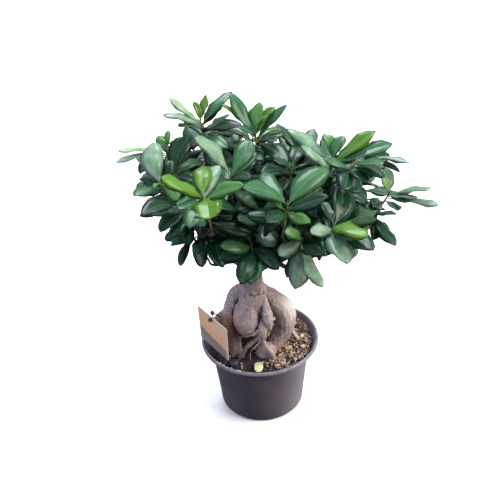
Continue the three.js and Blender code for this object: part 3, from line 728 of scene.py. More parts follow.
# %% Limbs
NECK_TOP = (-5, -9, 208)
LIMBS = {
    "left": [(-24, -4, 228), (-58, 2, 262), (-92, 4, 300)],
    "front_left": [(-22, -24, 232), (-47, -46, 266), (-58, -64, 294)],
    "front": [(4, -30, 230), (18, -62, 256), (28, -88, 290)],
    "front_right": [(22, -22, 230), (58, -46, 258), (96, -58, 290)],
    "right": [(26, 0, 230), (68, 10, 262), (112, 14, 294)],
    "back_right": [(18, 18, 232), (48, 56, 264), (76, 90, 300)],
    "back": [(-12, 20, 234), (-26, 60, 268), (-36, 92, 304)],
    "centre": [(-2, -8, 240), (6, -4, 285), (10, 6, 335)],
}
LIMB_RADII = [9, 7, 5.5, 4]

# %% Shoots
# A leaf is its azimuth from +X and its rise above the horizon in degrees, its length and width in
# millimetres, and the letter of its tone: young, light, middle, dark, grey, white or olive. Light,
# middle and dark are partly the leaf's age and partly painted light and shade; grey, white and olive
# carry a painted glare over a dark, middle or young green.
SHOOTS = {
    "top_left": {"tip": (-55, 20, 385), "leaves": [
        (65, 55, 30, 10, "y"), (130, 65, 24, 8, "y"), (180, 45, 46, 14, "o"), (40, 30, 54, 17, "m"),
        (50, 30, 36, 17, "d"), (205, 30, 50, 18, "w"), (225, 25, 38, 15, "d"), (340, 15, 48, 18, "d"),
        (290, 35, 28, 14, "d"), (305, 0, 46, 17, "m"), (245, 5, 36, 16, "d"),
    ]},
    "top_middle": {"tip": (5, 0, 380), "leaves": [
        (95, 35, 28, 14, "l"), (320, 50, 26, 13, "y"), (70, 55, 34, 14, "l"), (35, 45, 36, 13, "y"),
        (135, 50, 54, 17, "m"), (160, 50, 52, 10, "y"), (205, 50, 28, 14, "m"), (15, 45, 52, 13, "m"),
        (40, 5, 38, 14, "y"), (300, -5, 60, 23, "d"), (305, 25, 42, 17, "d"), (260, 10, 36, 16, "d"),
    ]},
    "middle_left": {"tip": (-25, -60, 355), "leaves": [
        (200, 55, 58, 25, "w"), (60, 30, 50, 21, "m"), (40, 25, 42, 13, "m"), (240, 15, 32, 14, "d"),
        (305, 25, 40, 16, "d"),
    ]},
    "left_bright": {"tip": (-50, -115, 360), "leaves": [
        (90, 20, 42, 20, "y"), (280, -5, 38, 30, "y"), (210, 40, 54, 18, "y"), (325, 30, 56, 17, "l"),
        (70, 25, 48, 20, "w"), (255, 0, 48, 20, "m"), (230, 25, 36, 18, "m"),
    ]},
    "left": {"tip": (-95, -60, 350), "leaves": [
        (250, 10, 16, 7, "y"), (300, 15, 14, 6, "y"), (105, 35, 54, 26, "w"), (305, -5, 30, 14, "l"),
        (230, 20, 42, 17, "m"), (140, 15, 30, 12, "d"), (75, 45, 36, 18, "d"),
    ]},
    "left_back": {"tip": (-95, 10, 355), "leaves": [
        (85, 35, 28, 8, "y"), (120, 30, 24, 12, "l"), (215, 20, 62, 12, "o"), (215, 10, 64, 12, "w"),
        (235, 0, 48, 16, "d"), (60, 25, 34, 17, "d"),
    ]},
    "left_inner": {"tip": (-85, -30, 345), "leaves": [
        (65, 30, 48, 26, "d"), (45, 5, 42, 18, "m"), (315, 10, 34, 15, "d"), (290, -5, 30, 15, "d"),
    ]},
    "left_low": {"tip": (-70, -70, 325), "stem": 24, "leaves": [
        (225, 15, 60, 22, "d"), (235, -5, 46, 20, "d"), (250, -10, 44, 18, "d"), (155, 0, 48, 18, "g"),
    ]},
    "left_bottom": {"tip": (-70, -40, 275), "leaves": [
        (230, 5, 34, 14, "m"), (250, -20, 42, 12, "d"), (285, -25, 40, 17, "d"), (160, -5, 38, 16, "d"),
        (310, 5, 34, 16, "d"),
    ]},
    "bottom_left": {"tip": (-40, -60, 285), "stem": 24, "leaves": [
        (260, 55, 22, 11, "l"), (275, -15, 46, 20, "d"), (245, -5, 36, 16, "d"), (290, -10, 42, 17, "d"),
        (215, 20, 34, 16, "d"),
    ]},
    "bottom_middle": {"tip": (-5, -95, 290), "leaves": [
        (85, 30, 58, 25, "d"), (220, 25, 46, 19, "m"), (305, -5, 44, 19, "d"), (255, -10, 52, 22, "d"),
        (265, -5, 48, 20, "m"), (250, 0, 40, 18, "d"), (320, 25, 42, 17, "d"),
    ]},
    "centre": {"tip": (30, -120, 350), "leaves": [
        (115, 15, 52, 20, "m"), (210, 35, 62, 20, "m"), (40, 20, 62, 25, "m"), (35, 10, 46, 20, "d"),
        (325, 30, 52, 20, "d"), (310, 0, 32, 14, "l"), (205, 45, 58, 13, "l"), (240, 15, 42, 18, "d"),
        (55, 60, 38, 17, "d"),
    ]},
    "centre_bottom": {"tip": (45, -105, 300), "leaves": [
        (190, 35, 32, 17, "l"), (225, 0, 34, 17, "w"), (288, -20, 58, 15, "o"), (265, -20, 56, 24, "g"),
        (245, -20, 42, 18, "d"), (300, 15, 44, 18, "d"),
    ]},
    "right_low": {"tip": (75, -120, 325), "leaves": [
        (105, 20, 32, 15, "d"), (75, 20, 54, 26, "d"), (300, 15, 54, 22, "y"), (220, 15, 32, 16, "w"),
        (295, 15, 48, 19, "m"), (305, 5, 58, 20, "d"), (280, -5, 52, 24, "w"), (260, 0, 40, 19, "d"),
        (25, 50, 36, 16, "d"),
    ]},
    "right_top": {"tip": (85, -30, 355), "leaves": [
        (75, 40, 24, 8, "y"), (100, 40, 32, 15, "l"), (50, 40, 30, 13, "m"), (140, 25, 64, 21, "w"),
        (355, 20, 68, 20, "m"), (5, 30, 60, 17, "y"), (0, 20, 54, 17, "y"), (205, 45, 50, 21, "w"),
        (140, 30, 54, 17, "y"), (250, 15, 42, 20, "d"),
    ]},
    "right_middle": {"tip": (100, -60, 360), "leaves": [
        (40, 0, 40, 16, "d"), (310, 20, 44, 17, "m"), (310, 5, 44, 17, "d"), (195, 30, 34, 13, "m"),
        (255, -5, 38, 22, "d"), (295, 5, 34, 18, "d"),
    ]},
    "right": {"tip": (145, -40, 315), "leaves": [
        (130, 55, 28, 9, "y"), (85, 35, 34, 15, "m"), (320, 25, 54, 19, "w"), (310, 20, 42, 17, "w"),
        (320, 10, 62, 15, "w"), (285, 5, 30, 17, "m"), (235, 15, 30, 15, "d"),
    ]},
    "right_back": {"tip": (130, 20, 328), "leaves": [
        (320, 10, 56, 14, "w"), (315, 0, 46, 14, "d"), (30, 5, 36, 15, "d"), (115, 10, 30, 15, "d"),
    ]},
    "right_bottom": {"tip": (125, -60, 300), "leaves": [
        (290, -15, 48, 19, "d"), (310, 25, 34, 15, "d"), (120, 0, 32, 16, "d"), (265, -10, 34, 16, "d"),
        (290, 5, 34, 15, "d"),
    ]},
    "middle_dark": {"tip": (40, -50, 355), "leaves": [
        (70, 15, 36, 20, "d"), (45, 0, 34, 17, "d"), (220, 40, 32, 14, "d"), (295, 10, 40, 19, "d"),
        (220, 20, 44, 18, "d"),
    ]},
    "back_far_left": {"tip": (-104, 62, 312), "grown": 8},
    "back_left": {"tip": (-72, 104, 312), "grown": 8},
    "back": {"tip": (-16, 122, 312), "grown": 8},
    "back_right": {"tip": (42, 116, 302), "grown": 8},
    "back_far_right": {"tip": (92, 90, 296), "grown": 8},
    "far_right": {"tip": (134, 50, 286), "grown": 9},
    "far_left": {"tip": (-88, 22, 300), "grown": 8},
    "top_back_left": {"tip": (-52, 64, 344), "grown": 9},
    "top_back": {"tip": (2, 74, 338), "grown": 8},
    "top_back_right": {"tip": (58, 48, 328), "grown": 9},
    "low_back_left": {"tip": (-62, 56, 272), "grown": 6},
    "low_back": {"tip": (-6, 80, 270), "grown": 6},
    "low_back_right": {"tip": (60, 70, 266), "grown": 6},
    "low_right": {"tip": (92, 0, 276), "grown": 6},
    "inner_left": {"tip": (-55, -48, 314), "grown": 8},
    "inner_front": {"tip": (5, -72, 318), "grown": 8},
    "inner_middle": {"tip": (34, -16, 326), "grown": 8},
    "inner_right": {"tip": (84, -78, 300), "grown": 7},
    "inner_low": {"tip": (30, -56, 280), "grown": 7},
}
print("shoots:", len(SHOOTS))

# %% Where a shoot stands
CROWN_HUB = Vector((0, 0, 215))
STEM_LENGTH = 42
STEM_RADIUS = 1.5
BRANCHLET_RADIUS = 2.6
LEAD = 0.22


def shoot_axis(row):
    """A shoot turns up: its axis lies between the way out of the crown and straight up."""
    outward = (Vector(row["tip"]) - CROWN_HUB).normalized()
    return (outward * 0.5 + Vector((0, 0, 0.6))).normalized()


def shoot_foot(row):
    """Where the green stem starts on its branchlet."""
    return Vector(row["tip"]) - shoot_axis(row) * row.get("stem", STEM_LENGTH)


def branchlet_route(row):
    """From the nearest limb, low enough to climb, into the foot of the shoot."""
    foot = shoot_foot(row)
    starts = [catmull_rom([NECK_TOP, *limb], i / 10) for limb in LIMBS.values() for i in range(3, 11)]
    start = min(starts, key=lambda s: (foot - s).length + 2 * max(0, 12 - (foot - s).z))
    lead = foot - shoot_axis(row) * (start - foot).length * LEAD
    return [start, lead, foot]


# %% Limbs and branchlets as one mesh
LIMB_VOXEL = 1.25
BRANCHLET_RADII = [BRANCHLET_RADIUS + 0.8, BRANCHLET_RADIUS, STEM_RADIUS + 0.2]

parts = [tube([NECK_TOP, *limb], LIMB_RADII, 24, 3) for limb in LIMBS.values()]
parts += [tube(branchlet_route(row), BRANCHLET_RADII, 14, 2) for row in SHOOTS.values()]
limbs = join(parts)
modify(limbs, "REMESH", mode="VOXEL", voxel_size=LIMB_VOXEL * MM, use_smooth_shade=True)
modify(limbs, "SMOOTH", factor=0.5, iterations=3)


def knobbly(points, normals):
    """Small lumps and rings along the limbs."""
    return points + normals * (lumps(points, 9, 2, 5) * 0.5 + lumps(points, 2.6, 2, 6) * 0.16)[:, None]


move_points(limbs, knobbly)
remember_creases(limbs)
finish_piece(limbs, "limbs", [limb_bark], ["trunk"])

# %% [markdown]
# ## One leaf
#
# Fig leaves are alike: a short stalk, an elliptic blade that is widest past its middle, and a small
# blunt point. One flat leaf is modelled on a grid: its length runs along X from 0 to 1, and across
# it Y runs from -1 to 1. It is then doubled, so that it has an upper and a lower side that share one
# edge. Every leaf of the tree is a copy of it, bent to its own place.

# %% The leaf that all others are copied from
LEAF_STOPS = [0, 0.05, 0.1, 0.18, 0.3, 0.44, 0.58, 0.72, 0.85, 0.94, 1.0]
POINTED_WIDTHS = [0.05, 0.04, 0.06, 0.38, 0.74, 0.96, 1.0, 0.92, 0.68, 0.33, 0.02]
BLUNT_WIDTHS = [0.05, 0.04, 0.06, 0.28, 0.62, 0.88, 1.0, 1.0, 0.86, 0.56, 0.04]


def flat_leaf():
    """The base leaf, with its upper side at +Z and its lower side at -Z."""
    bpy.ops.object.select_all(action="DESELECT")
    rows = len(LEAF_STOPS)
    bpy.ops.mesh.primitive_grid_add(x_subdivisions=rows - 1, y_subdivisions=4, size=2, calc_uvs=True)
    leaf = bpy.context.active_object
    bpy.ops.object.mode_set(mode="EDIT")
    bpy.ops.mesh.select_all(action="SELECT")
    bpy.ops.mesh.duplicate()
    bpy.ops.mesh.flip_normals()
    bpy.ops.object.mode_set(mode="OBJECT")
    half = len(leaf.data.vertices) // 2
    for vertex in leaf.data.vertices:
        row = round((vertex.co.x + 1) / 2 * (rows - 1))
        edge = abs(vertex.co.y) > 0.99 or row in (0, rows - 1)
        vertex.co.x = LEAF_STOPS[row]
        vertex.co.z = 0 if edge else (1 if vertex.index < half else -1)
    bpy.ops.object.mode_set(mode="EDIT")
    bpy.ops.mesh.select_all(action="SELECT")
    bpy.ops.mesh.remove_doubles(threshold=0.001)
    bpy.ops.object.mode_set(mode="OBJECT")
    for layer in leaf.data.uv_layers.active.data:
        layer.uv.x = np.interp(layer.uv.x * (rows - 1), range(rows), LEAF_STOPS)
    return leaf


base_leaf = flat_leaf()
LEAF_POINTS = np.array([vertex.co[:] for vertex in base_leaf.data.vertices])
LEAF_FACES = [list(face.vertices) for face in base_leaf.data.polygons]
LEAF_UNDER = [sum(LEAF_POINTS[i][2] for i in face) < 0 for face in LEAF_FACES]
LEAF_UVS = [layer.uv[:] for layer in base_leaf.data.uv_layers.active.data]
bpy.data.objects.remove(base_leaf)
print("base leaf:", len(LEAF_FACES), "faces")

# %% [markdown]
# A blade is bent by a few numbers: it arches over its length, sways to one side, folds along the
# midrib, curls its edges down and waves them. These come from a repeatable draw for each leaf, so
# no two leaves are alike, and they are the same each time.

# %% Bending a copy
BLADE_THICKNESS = 0.45
STALK_HALF_THICKNESS = 0.55
STALK_SHARE = 0.13


def chance(seed):
    """A repeatable number from 0 to 1 for any seed."""
    wave = math.sin(seed * 12.9898 + 4.1414) * 43758.5453
    return wave - math.floor(wave)


def bent_leaf(leaf):
    """The base leaf's points where this leaf grows, in millimetres."""
    share, across, face = LEAF_POINTS.T
    length, half = leaf["length"], leaf["width"] / 2
    blunt = leaf["blunt"]
    widths = np.array(POINTED_WIDTHS) * (1 - blunt) + np.array(BLUNT_WIDTHS) * blunt
    spread = np.interp(share, LEAF_STOPS, leaf.get("widths", widths)) * half
    stalk = share < leaf.get("stalk", STALK_SHARE)
    spread = np.where(stalk, STALK_HALF_THICKNESS * 1.1, spread)
    hump = 4 * share * (1 - share)
    thick = np.where(stalk, STALK_HALF_THICKNESS, BLADE_THICKNESS / 2 * (1 + 0.8 * (np.abs(across) < 0.2)))
    seed = leaf["seed"]
    fold = leaf["fold"] * np.abs(across) - leaf["curl"] * across ** 2
    wave = leaf["wave"] * np.sin(share * 12 + seed) * across * np.abs(across)
    lift = hump * leaf["arch"] * length + np.where(stalk, 0, spread * (fold + wave)) + thick * face
    groove = np.where((np.abs(across) < 0.2) & (face > 0) & ~stalk, -0.25, 0)
    out = hump * leaf["sway"] * length + across * spread
    along, up = np.array(leaf["along"]), np.array(leaf["up"])
    side = np.cross(up, along)
    start = np.array(leaf["start"])
    return start + np.outer(share * length, along) + np.outer(lift + groove, up) + np.outer(out, side)


# %% Placing a leaf on its shoot
LEAF_SPACING = 2
GOLDEN_ANGLE = 137.5
EXTRA_LEAVES = 1
TRIES = [
    (0, 0), (6, 0), (-6, 0), (0, 7), (0, -7), (12, 0), (-12, 0), (8, 8), (-8, 8), (8, -8), (-8, -8),
    (20, 0), (-20, 0), (16, 12), (-16, 12), (16, -12), (-16, -12), (30, 6), (-30, 6), (30, -8), (-30, -8),
]
# For each letter, the place on the scale from dark to young, and the share of painted glare. The place
# stands partly for the leaf's age and partly for painted light and shade.
TONES = {
    "y": (1.0, 0), "l": (0.7, 0.04), "m": (0.42, 0.03), "d": (0.1, 0),
    "g": (0.1, 0.16), "w": (0.5, 0.32), "o": (0.95, 0.4),
}
# Every blade rolls a little about its midrib, so that its face leans to the light in front.
LIGHT_SIDE = Vector((0, -1, 0))
LIGHT_LEAN = 0.36
# A leaf has room where the solid model has a leaf's tip, to within this many millimetres.
TIP_MATCH = 0.03


def place_leaf(row, down, azimuth, rise, length, width, tone, painted_glare, seed):
    """A leaf that starts on the shoot's axis, that many millimetres below its tip."""
    axis = shoot_axis(row)
    along = heading(azimuth, rise)
    up = (axis - along * axis.dot(along)).normalized()
    up = (up + LIGHT_LEAN * (LIGHT_SIDE - along * LIGHT_SIDE.dot(along))).normalized()
    return {
        "start": Vector(row["tip"]) - axis * down, "along": along, "up": up,
        "length": length, "width": width, "tone": tone, "painted_glare": painted_glare, "seed": seed,
        "arch": 0.05 + 0.1 * chance(seed),
        "fold": (0.2 + 0.3 * chance(seed + 0.3)) * (1 - 1.8 * painted_glare),
        "sway": 0.18 * (chance(seed + 0.6) - 0.5),
        "curl": 0.12 + 0.4 * chance(seed + 0.9),
        "wave": 0.06 + 0.16 * chance(seed + 1.3) + 0.12 * tone,
        "blunt": 0.2 + 0.8 * chance(seed + 1.7),
    }


def grown_leaves(count, shoot_seed, first):
    """Leaves that follow the golden angle round the shoot, the lower ones longer and flatter."""
    for i in range(count):
        order = first + i
        share = i / max(count - 1, 1)
        azimuth = (shoot_seed * 67 + order * GOLDEN_ANGLE) % 360
        rise = 5 - 15 * share if first else 45 - 60 * share
        length = 38 + 6 * share if first else 37 + 14 * share + 5 * chance(shoot_seed + order * 0.37)
        yield azimuth, rise, length, length * (0.42 + 0.08 * chance(shoot_seed + order * 0.71)), None


def leaves_of(name, shoot_seed):
    """The leaves of one shoot, each turned to where the solid model found room for it."""
    row = SHOOTS[name]
    rows = list(row.get("leaves", []))
    rows += grown_leaves(row.get("grown", EXTRA_LEAVES), shoot_seed, len(rows))
    solid, _ = read_points(frame["nodes"]["spray_" + name].data)
    placed = []
    for order, (azimuth, rise, length, width, letter) in enumerate(rows):
        seed = shoot_seed * 31 + order
        tone, painted_glare = TONES[letter] if letter else (0.1 + 0.3 * chance(seed + 2.1), 0.1 * chance(seed + 2.3))
        for turn_by, lift_by in TRIES:
            leaf = place_leaf(row, LEAF_SPACING * order, azimuth + turn_by, rise + lift_by,
                              length, width, tone, painted_glare, seed)
            tip = np.array(leaf["start"] + leaf["along"] * length)
            if np.abs(solid - tip).max(axis=1).min() < TIP_MATCH:
                if letter is None:
                    leaf["fold"] *= 0.5
                placed.append(leaf)
                break
    return placed


# %% [markdown]
# A mature fig leaf has a waxy skin: deep green and glossy, and on some leaves its pale, bluish glare
# is painted into the colour. Young leaves are yellow green. The midrib and side veins are a little
# paler, and the underside is dull and lighter. All leaves share two materials. Each leaf's tone and
# painted glare are kept on its points, so that no leaf needs a material of its own.

# %% Leaf finishes
# A sine over this many radians gives about twelve pairs of side veins in a blade's length.
VEIN_RADIANS = 75
VEIN_SLANT = -0.42


def make_leaf_skin(name, stops, roughness, vein_hex, vein_share):
    """A leaf's side: its colour by tone, with veins drawn on the leaf's own map and a painted glare mixed
    in.
    """
    skin, tree, shader = new_material(name, {"Roughness": roughness, "Specular IOR Level": 0.3})
    tone = add_node(tree, "Attribute", attribute_name="tone").outputs["Fac"]
    place = add_node(tree, "TexCoord").outputs["Object"]
    cloud = add_node(tree, "TexNoise", {"Vector": place, "Scale": scale_of(16.7), "Detail": 3.0})
    shift = add_node(tree, "MapRange", {"Value": cloud, "To Min": -0.12, "To Max": 0.12})
    toned = add_node(tree, "Math", {0: tone, 1: shift}, operation="ADD")
    base = add_node(tree, "ValToRGB", {0: toned}, stops)
    uv = add_node(tree, "SeparateXYZ", {0: add_node(tree, "UVMap", uv_map="UVMap")}).outputs
    middle = add_node(tree, "Math", {0: uv["Y"], 1: 0.5}, operation="SUBTRACT")
    off_rib = add_node(tree, "Math", {0: middle}, operation="ABSOLUTE")
    rib = add_node(tree, "ValToRGB", {0: off_rib}, [(0.004, "#ffffff"), (0.03, "#000000")])
    slanted = add_node(tree, "Math", {0: off_rib, 1: VEIN_SLANT, 2: uv["X"]}, operation="MULTIPLY_ADD")
    waves = add_node(tree, "Math", {0: slanted, 1: VEIN_RADIANS}, operation="MULTIPLY")
    sine = add_node(tree, "Math", {0: waves}, operation="SINE")
    side_veins = add_node(tree, "ValToRGB", {0: sine}, [(0.7, "#000000"), (0.99, "#5f5f5f")])
    veins = add_node(tree, "Math", {0: rib, 1: side_veins}, operation="MAXIMUM")
    vein_mix = add_node(tree, "Math", {0: veins, 1: vein_share}, operation="MULTIPLY")
    veined = add_node(tree, "Mix", {"Factor": vein_mix, "A": base, "B": colour(vein_hex)},
                      data_type="RGBA")
    foot = add_node(tree, "ValToRGB", {0: uv["X"]}, [(0.06, "#8c8c8c"), (0.2, "#000000")])
    footed = add_node(tree, "Mix", {"Factor": foot, "A": veined, "B": colour("#7c8f45")},
                      data_type="RGBA")
    # Painted glare: a pale bluish green, mixed in patches by each leaf's share of it.
    painted_glare = add_node(tree, "Attribute", attribute_name="painted_glare").outputs["Fac"]
    streaks = add_node(tree, "TexNoise", {"Vector": place, "Scale": scale_of(9.1), "Detail": 2.0})
    patchy = add_node(tree, "MapRange", {"Value": streaks, "From Min": 0.3, "From Max": 0.7,
                                         "To Min": 0.5, "To Max": 1.3})
    glare_share = add_node(tree, "Math", {0: painted_glare, 1: patchy}, operation="MULTIPLY")
    glared = add_node(tree, "Mix", {"Factor": glare_share, "A": footed, "B": colour("#b4cbb8")},
                     data_type="RGBA")
    raised = add_node(tree, "Bump", {"Height": veins, "Distance": 0.15 * MM, "Strength": 0.5})
    wire(shader, {"Base Color": glared, "Normal": raised})
    return skin


LEAF_GREENS = [(0.0, "#0c2c1b"), (0.25, "#16422a"), (0.5, "#285d33"), (0.75, "#40722c"), (1.0, "#48731e")]
BACK_GREENS = [(0.0, "#22352d"), (0.5, "#3c5a49"), (1.0, "#64823a")]
leaf_skin = make_leaf_skin("waxy_fig_leaf_painted_glare", LEAF_GREENS, 0.3, "#9dbb8c", 0.14)
leaf_back = make_leaf_skin("dull_leaf_underside", BACK_GREENS, 0.6, "#9bb58a", 0.3)

# Young shoots are green and slightly ribbed, and turn brown where bark begins to form.
green_stem = grainy_material(
    "green_shoot_bark", 0.5, 5.55, [(0.35, "#4d5a34"), (0.55, "#6f7d43"), (0.75, "#8a8a58")],
    0.2, 0.6, Detail=3.0)
print("materials so far:", len(bpy.data.materials))

# %% [markdown]
# Behind its outer leaves the crown is full of darker ones that hide the limbs; their dark tone is
# painted shade for the inside of the crown. They grow down each shoot and along its branchlet. Each is
# tried in several ways, and the first way that touches no other leaf is kept, so that the blades never
# cut through each other.

# %% Leaves deeper in the crown
INNER_START = 14
INNER_SPACING = 3
SHADE_SPACING = 4
INNER_TRIES = 8
# The inner leaves keep their tips inside this flattened ball, which reaches further up than down.
CROWN_MIDDLE = Vector((16, -6, 300))
CROWN_REACH = Vector((134, 100, 58))
CROWN_REACH_UP = 82


def inner_places(row):
    """Points down the lower part of a shoot and on along its branchlet."""
    axis = shoot_axis(row)
    stem = row.get("stem", STEM_LENGTH)
    route = branchlet_route(row)
    wood_length = (Vector(route[2]) - Vector(route[0])).length
    for i in range(int((stem - INNER_START) / INNER_SPACING)):
        yield Vector(row["tip"]) - axis * (INNER_START + INNER_SPACING * i)
    for i in range(int(wood_length / SHADE_SPACING) - 1):
        yield catmull_rom(route, 1 - SHADE_SPACING * (i + 1) / wood_length)


def inner_tries(row, shoot_seed, order, spot):
    """The ways in which a dark leaf may grow from a spot inside the crown, the longest first."""
    for k in range(INNER_TRIES):
        seed = 5000 + shoot_seed * 61 + order + 0.013 * k
        length = (50 - 3 * k) * (0.8 + 0.25 * chance(seed + 0.2))
        azimuth = shoot_seed * 41 + order * GOLDEN_ANGLE + 47 * k
        # Their low tone is painted shade for a leaf deep in the crown.
        leaf = place_leaf(row, 0, azimuth, 20 - 60 * chance(seed + 0.4), length,
                          length * (0.4 + 0.12 * chance(seed + 0.8)), 0.2 * chance(seed + 0.5), 0, seed)
        leaf["start"] = spot
        reach = spot + leaf["along"] * length - CROWN_MIDDLE
        high = CROWN_REACH_UP if reach.z > 0 else CROWN_REACH.z
        if (reach.x / CROWN_REACH.x) ** 2 + (reach.y / CROWN_REACH.y) ** 2 + (reach.z / high) ** 2 < 1:
            yield leaf


# %% One piece for each spray
def leaf_tree(points):
    """A leaf's faces, ready to be tested against other leaves."""
    return BVHTree.FromPolygons(points.tolist(), LEAF_FACES)


def blades_from(bent):
    """One mesh from the points of several bent leaves, with a map on each."""
    faces = [[i + n * len(LEAF_POINTS) for i in face] for n in range(len(bent)) for face in LEAF_FACES]
    blades = from_arrays("blades", np.concatenate(bent), faces)
    uv = blades.data.uv_layers.new(name="UVMap")
    uv.data.foreach_set("uv", np.tile(np.ravel(LEAF_UVS), len(bent)).astype(np.float32))
    return blades


def build_spray(name, leaves):
    """The stem and its leaves as one mesh, with each leaf's tone and wax."""
    row = SHOOTS[name]
    tip, axis = Vector(row["tip"]), shoot_axis(row)
    foot = shoot_foot(row)
    stem = tube([foot, (foot + tip) / 2, tip + axis * 1.5, tip + axis * 5],
                [STEM_RADIUS, STEM_RADIUS * 0.85, STEM_RADIUS * 0.8, 0.35], 16, 1)
    stem.data.materials.append(green_stem)
    blades = blades_from([leaf["points"] for leaf in leaves])
    blades.data.materials.append(leaf_skin)
    blades.data.materials.append(leaf_back)
    blades.data.polygons.foreach_set("material_index", np.tile(LEAF_UNDER, len(leaves)).astype(np.int32))
    for key in ("tone", "painted_glare"):
        remember(blades, key, np.repeat([leaf[key] for leaf in leaves], len(LEAF_POINTS)))
    on_rib = np.tile(np.abs(LEAF_POINTS[:, 1]) < 0.01, len(leaves))
    for edge in blades.data.edges:
        edge.use_edge_sharp = bool(on_rib[edge.vertices[0]] and on_rib[edge.vertices[1]])
    return join([blades, stem])


crown_leaves = {name: leaves_of(name, seed) for seed, name in enumerate(SHOOTS)}
for leaves in crown_leaves.values():
    for leaf in leaves:
        leaf["points"] = bent_leaf(leaf)
known = [(leaf["points"].min(axis=0), leaf["points"].max(axis=0), leaf_tree(leaf["points"]))
         for leaves in crown_leaves.values() for leaf in leaves]
print("leaves placed as in the solid model:", len(known))


def fits(leaf):
    """Whether a leaf is clear of all the leaves so far. If it is, it becomes one of them."""
    leaf["points"] = bent_leaf(leaf)
    low, high = leaf["points"].min(axis=0), leaf["points"].max(axis=0)
    own = leaf_tree(leaf["points"])
    near = [other for a, b, other in known if (a < high).all() and (low < b).all()]
    if any(own.overlap(other) for other in near):
        return False
    known.append((low, high, own))
    return True


for shoot_seed, (name, row) in enumerate(SHOOTS.items()):
    for order, spot in enumerate(inner_places(row)):
        found = next((leaf for leaf in inner_tries(row, shoot_seed, order, spot) if fits(leaf)), None)
        if found:
            crown_leaves[name].append(found)
print("leaves in all:", len(known))

for name, leaves in crown_leaves.items():
    spray = build_spray(name, leaves)
    finish_piece(spray, "leaves_" + name, [], ["spray_" + name])

# %% [markdown]
# ## The plant tag
#
# A printed card stands in the soil at the left and leans on the rim. Its lower edge runs from the
# rim to the soil, and the card leans forward from there. The print is a plain design of coloured
# bands, and it is drawn in the material, so that the card itself stays one clean solid.

# %% The card
TAG_LEFT = Vector((-75, -1, 102))
TAG_RIGHT = Vector((-40.5, -37, 90.5))
TAG_HEIGHT = 67
TAG_LEAN = 11
TAG_CORNER = 1.6
TAG_THICKNESS = 0.9
HOLE_RADIUS = 2.2
HOLE_ACROSS = -1.5
HOLE_UP = 61
TAG_WIDTH = (TAG_RIGHT - TAG_LEFT).length

tag_across = (TAG_RIGHT - TAG_LEFT).normalized()
tag_back = tag_across.cross(Vector((0, 0, 1))).normalized()
tag_up = Matrix.Rotation(math.radians(TAG_LEAN), 3, tag_across) @ tag_back.cross(tag_across)
tag_front = tag_across.cross(tag_up)
tag_place = Matrix((tag_across, tag_up, tag_front)).transposed().to_4x4()
tag_place.translation = (TAG_LEFT + TAG_RIGHT) / 2


def on_tag(across, up, front):
    """A point given on the card, in millimetres in the tree's frame."""
    return tag_place @ Vector((across, up, front))


bpy.ops.object.select_all(action="DESELECT")
bpy.ops.mesh.primitive_plane_add(size=1)
card = bpy.context.active_object
card.scale = (TAG_WIDTH, TAG_HEIGHT, 1)
card.location = (0, TAG_HEIGHT / 2, 0)
settle(card)
bpy.ops.object.mode_set(mode="EDIT")
bpy.ops.mesh.select_all(action="SELECT")
bpy.ops.mesh.bevel(offset=TAG_CORNER, segments=6, affect="VERTICES")
bpy.ops.mesh.extrude_region_move(TRANSFORM_OT_translate={"value": (0, 0, TAG_THICKNESS)})
bpy.ops.mesh.select_all(action="SELECT")
bpy.ops.transform.translate(value=(0, 0, -TAG_THICKNESS / 2))
bpy.ops.mesh.normals_make_consistent(inside=False)
bpy.ops.object.mode_set(mode="OBJECT")
bpy.ops.mesh.primitive_cylinder_add(vertices=32, radius=HOLE_RADIUS, depth=6,
                                    location=(HOLE_ACROSS, HOLE_UP, 0))
punch = bpy.context.active_object
modify(card, "BOOLEAN", operation="DIFFERENCE", solver="EXACT", object=punch)
bpy.data.objects.remove(punch)
modify(card, "BEVEL", width=0.15, segments=2, limit_method="ANGLE")

map_of_card = card.data.uv_layers.new(name="card")
for loop in card.data.loops:
    x, y, _ = card.data.vertices[loop.vertex_index].co
    map_of_card.data[loop.index].uv = (x / TAG_WIDTH + 0.5, y / TAG_HEIGHT)
card.data.transform(Matrix.Scale(MM, 4) @ tag_place)
card.data.update()
print("card:", round(TAG_WIDTH, 1), "by", TAG_HEIGHT, "mm")

# %% Printed card
# Offset print on coated card: flat bands of ink, a low gloss, a pale unprinted border at the top and
# a pale band at the right edge that is a painted edge highlight.
tag_card, tree, shader = new_material("printed_coated_card", {"Roughness": 0.45})
uv = add_node(tree, "SeparateXYZ", {0: add_node(tree, "UVMap", uv_map="card")}).outputs
place = add_node(tree, "TexCoord").outputs["Object"]
slanted = add_node(tree, "Math", {0: uv["X"], 1: 0.16, 2: uv["Y"]}, operation="MULTIPLY_ADD")
bands = add_node(tree, "ValToRGB", {0: slanted}, [
    (0.0, "#86877c"), (0.1, "#949487"), (0.12, "#c09b90"), (0.17, "#c09b90"), (0.19, "#a3938e"),
    (0.3, "#a3938e"), (0.32, "#8d9482"), (0.42, "#969b88"), (0.45, "#ffbd92"), (1.0, "#ffd0a6")])
blot = add_node(tree, "TexNoise", {"Vector": place, "Scale": scale_of(11.1), "Detail": 4.0})
faded = add_node(tree, "ValToRGB", {0: blot}, [(0.3, "#cfc0b0"), (0.6, "#ffffff")])
inked = add_node(tree, "Mix", {"Factor": 0.18, "A": bands, "B": faded},
                 data_type="RGBA", blend_type="MULTIPLY")
top_border = add_node(tree, "ValToRGB", {0: uv["Y"]}, [(0.945, "#000000"), (0.955, "#ffffff")])
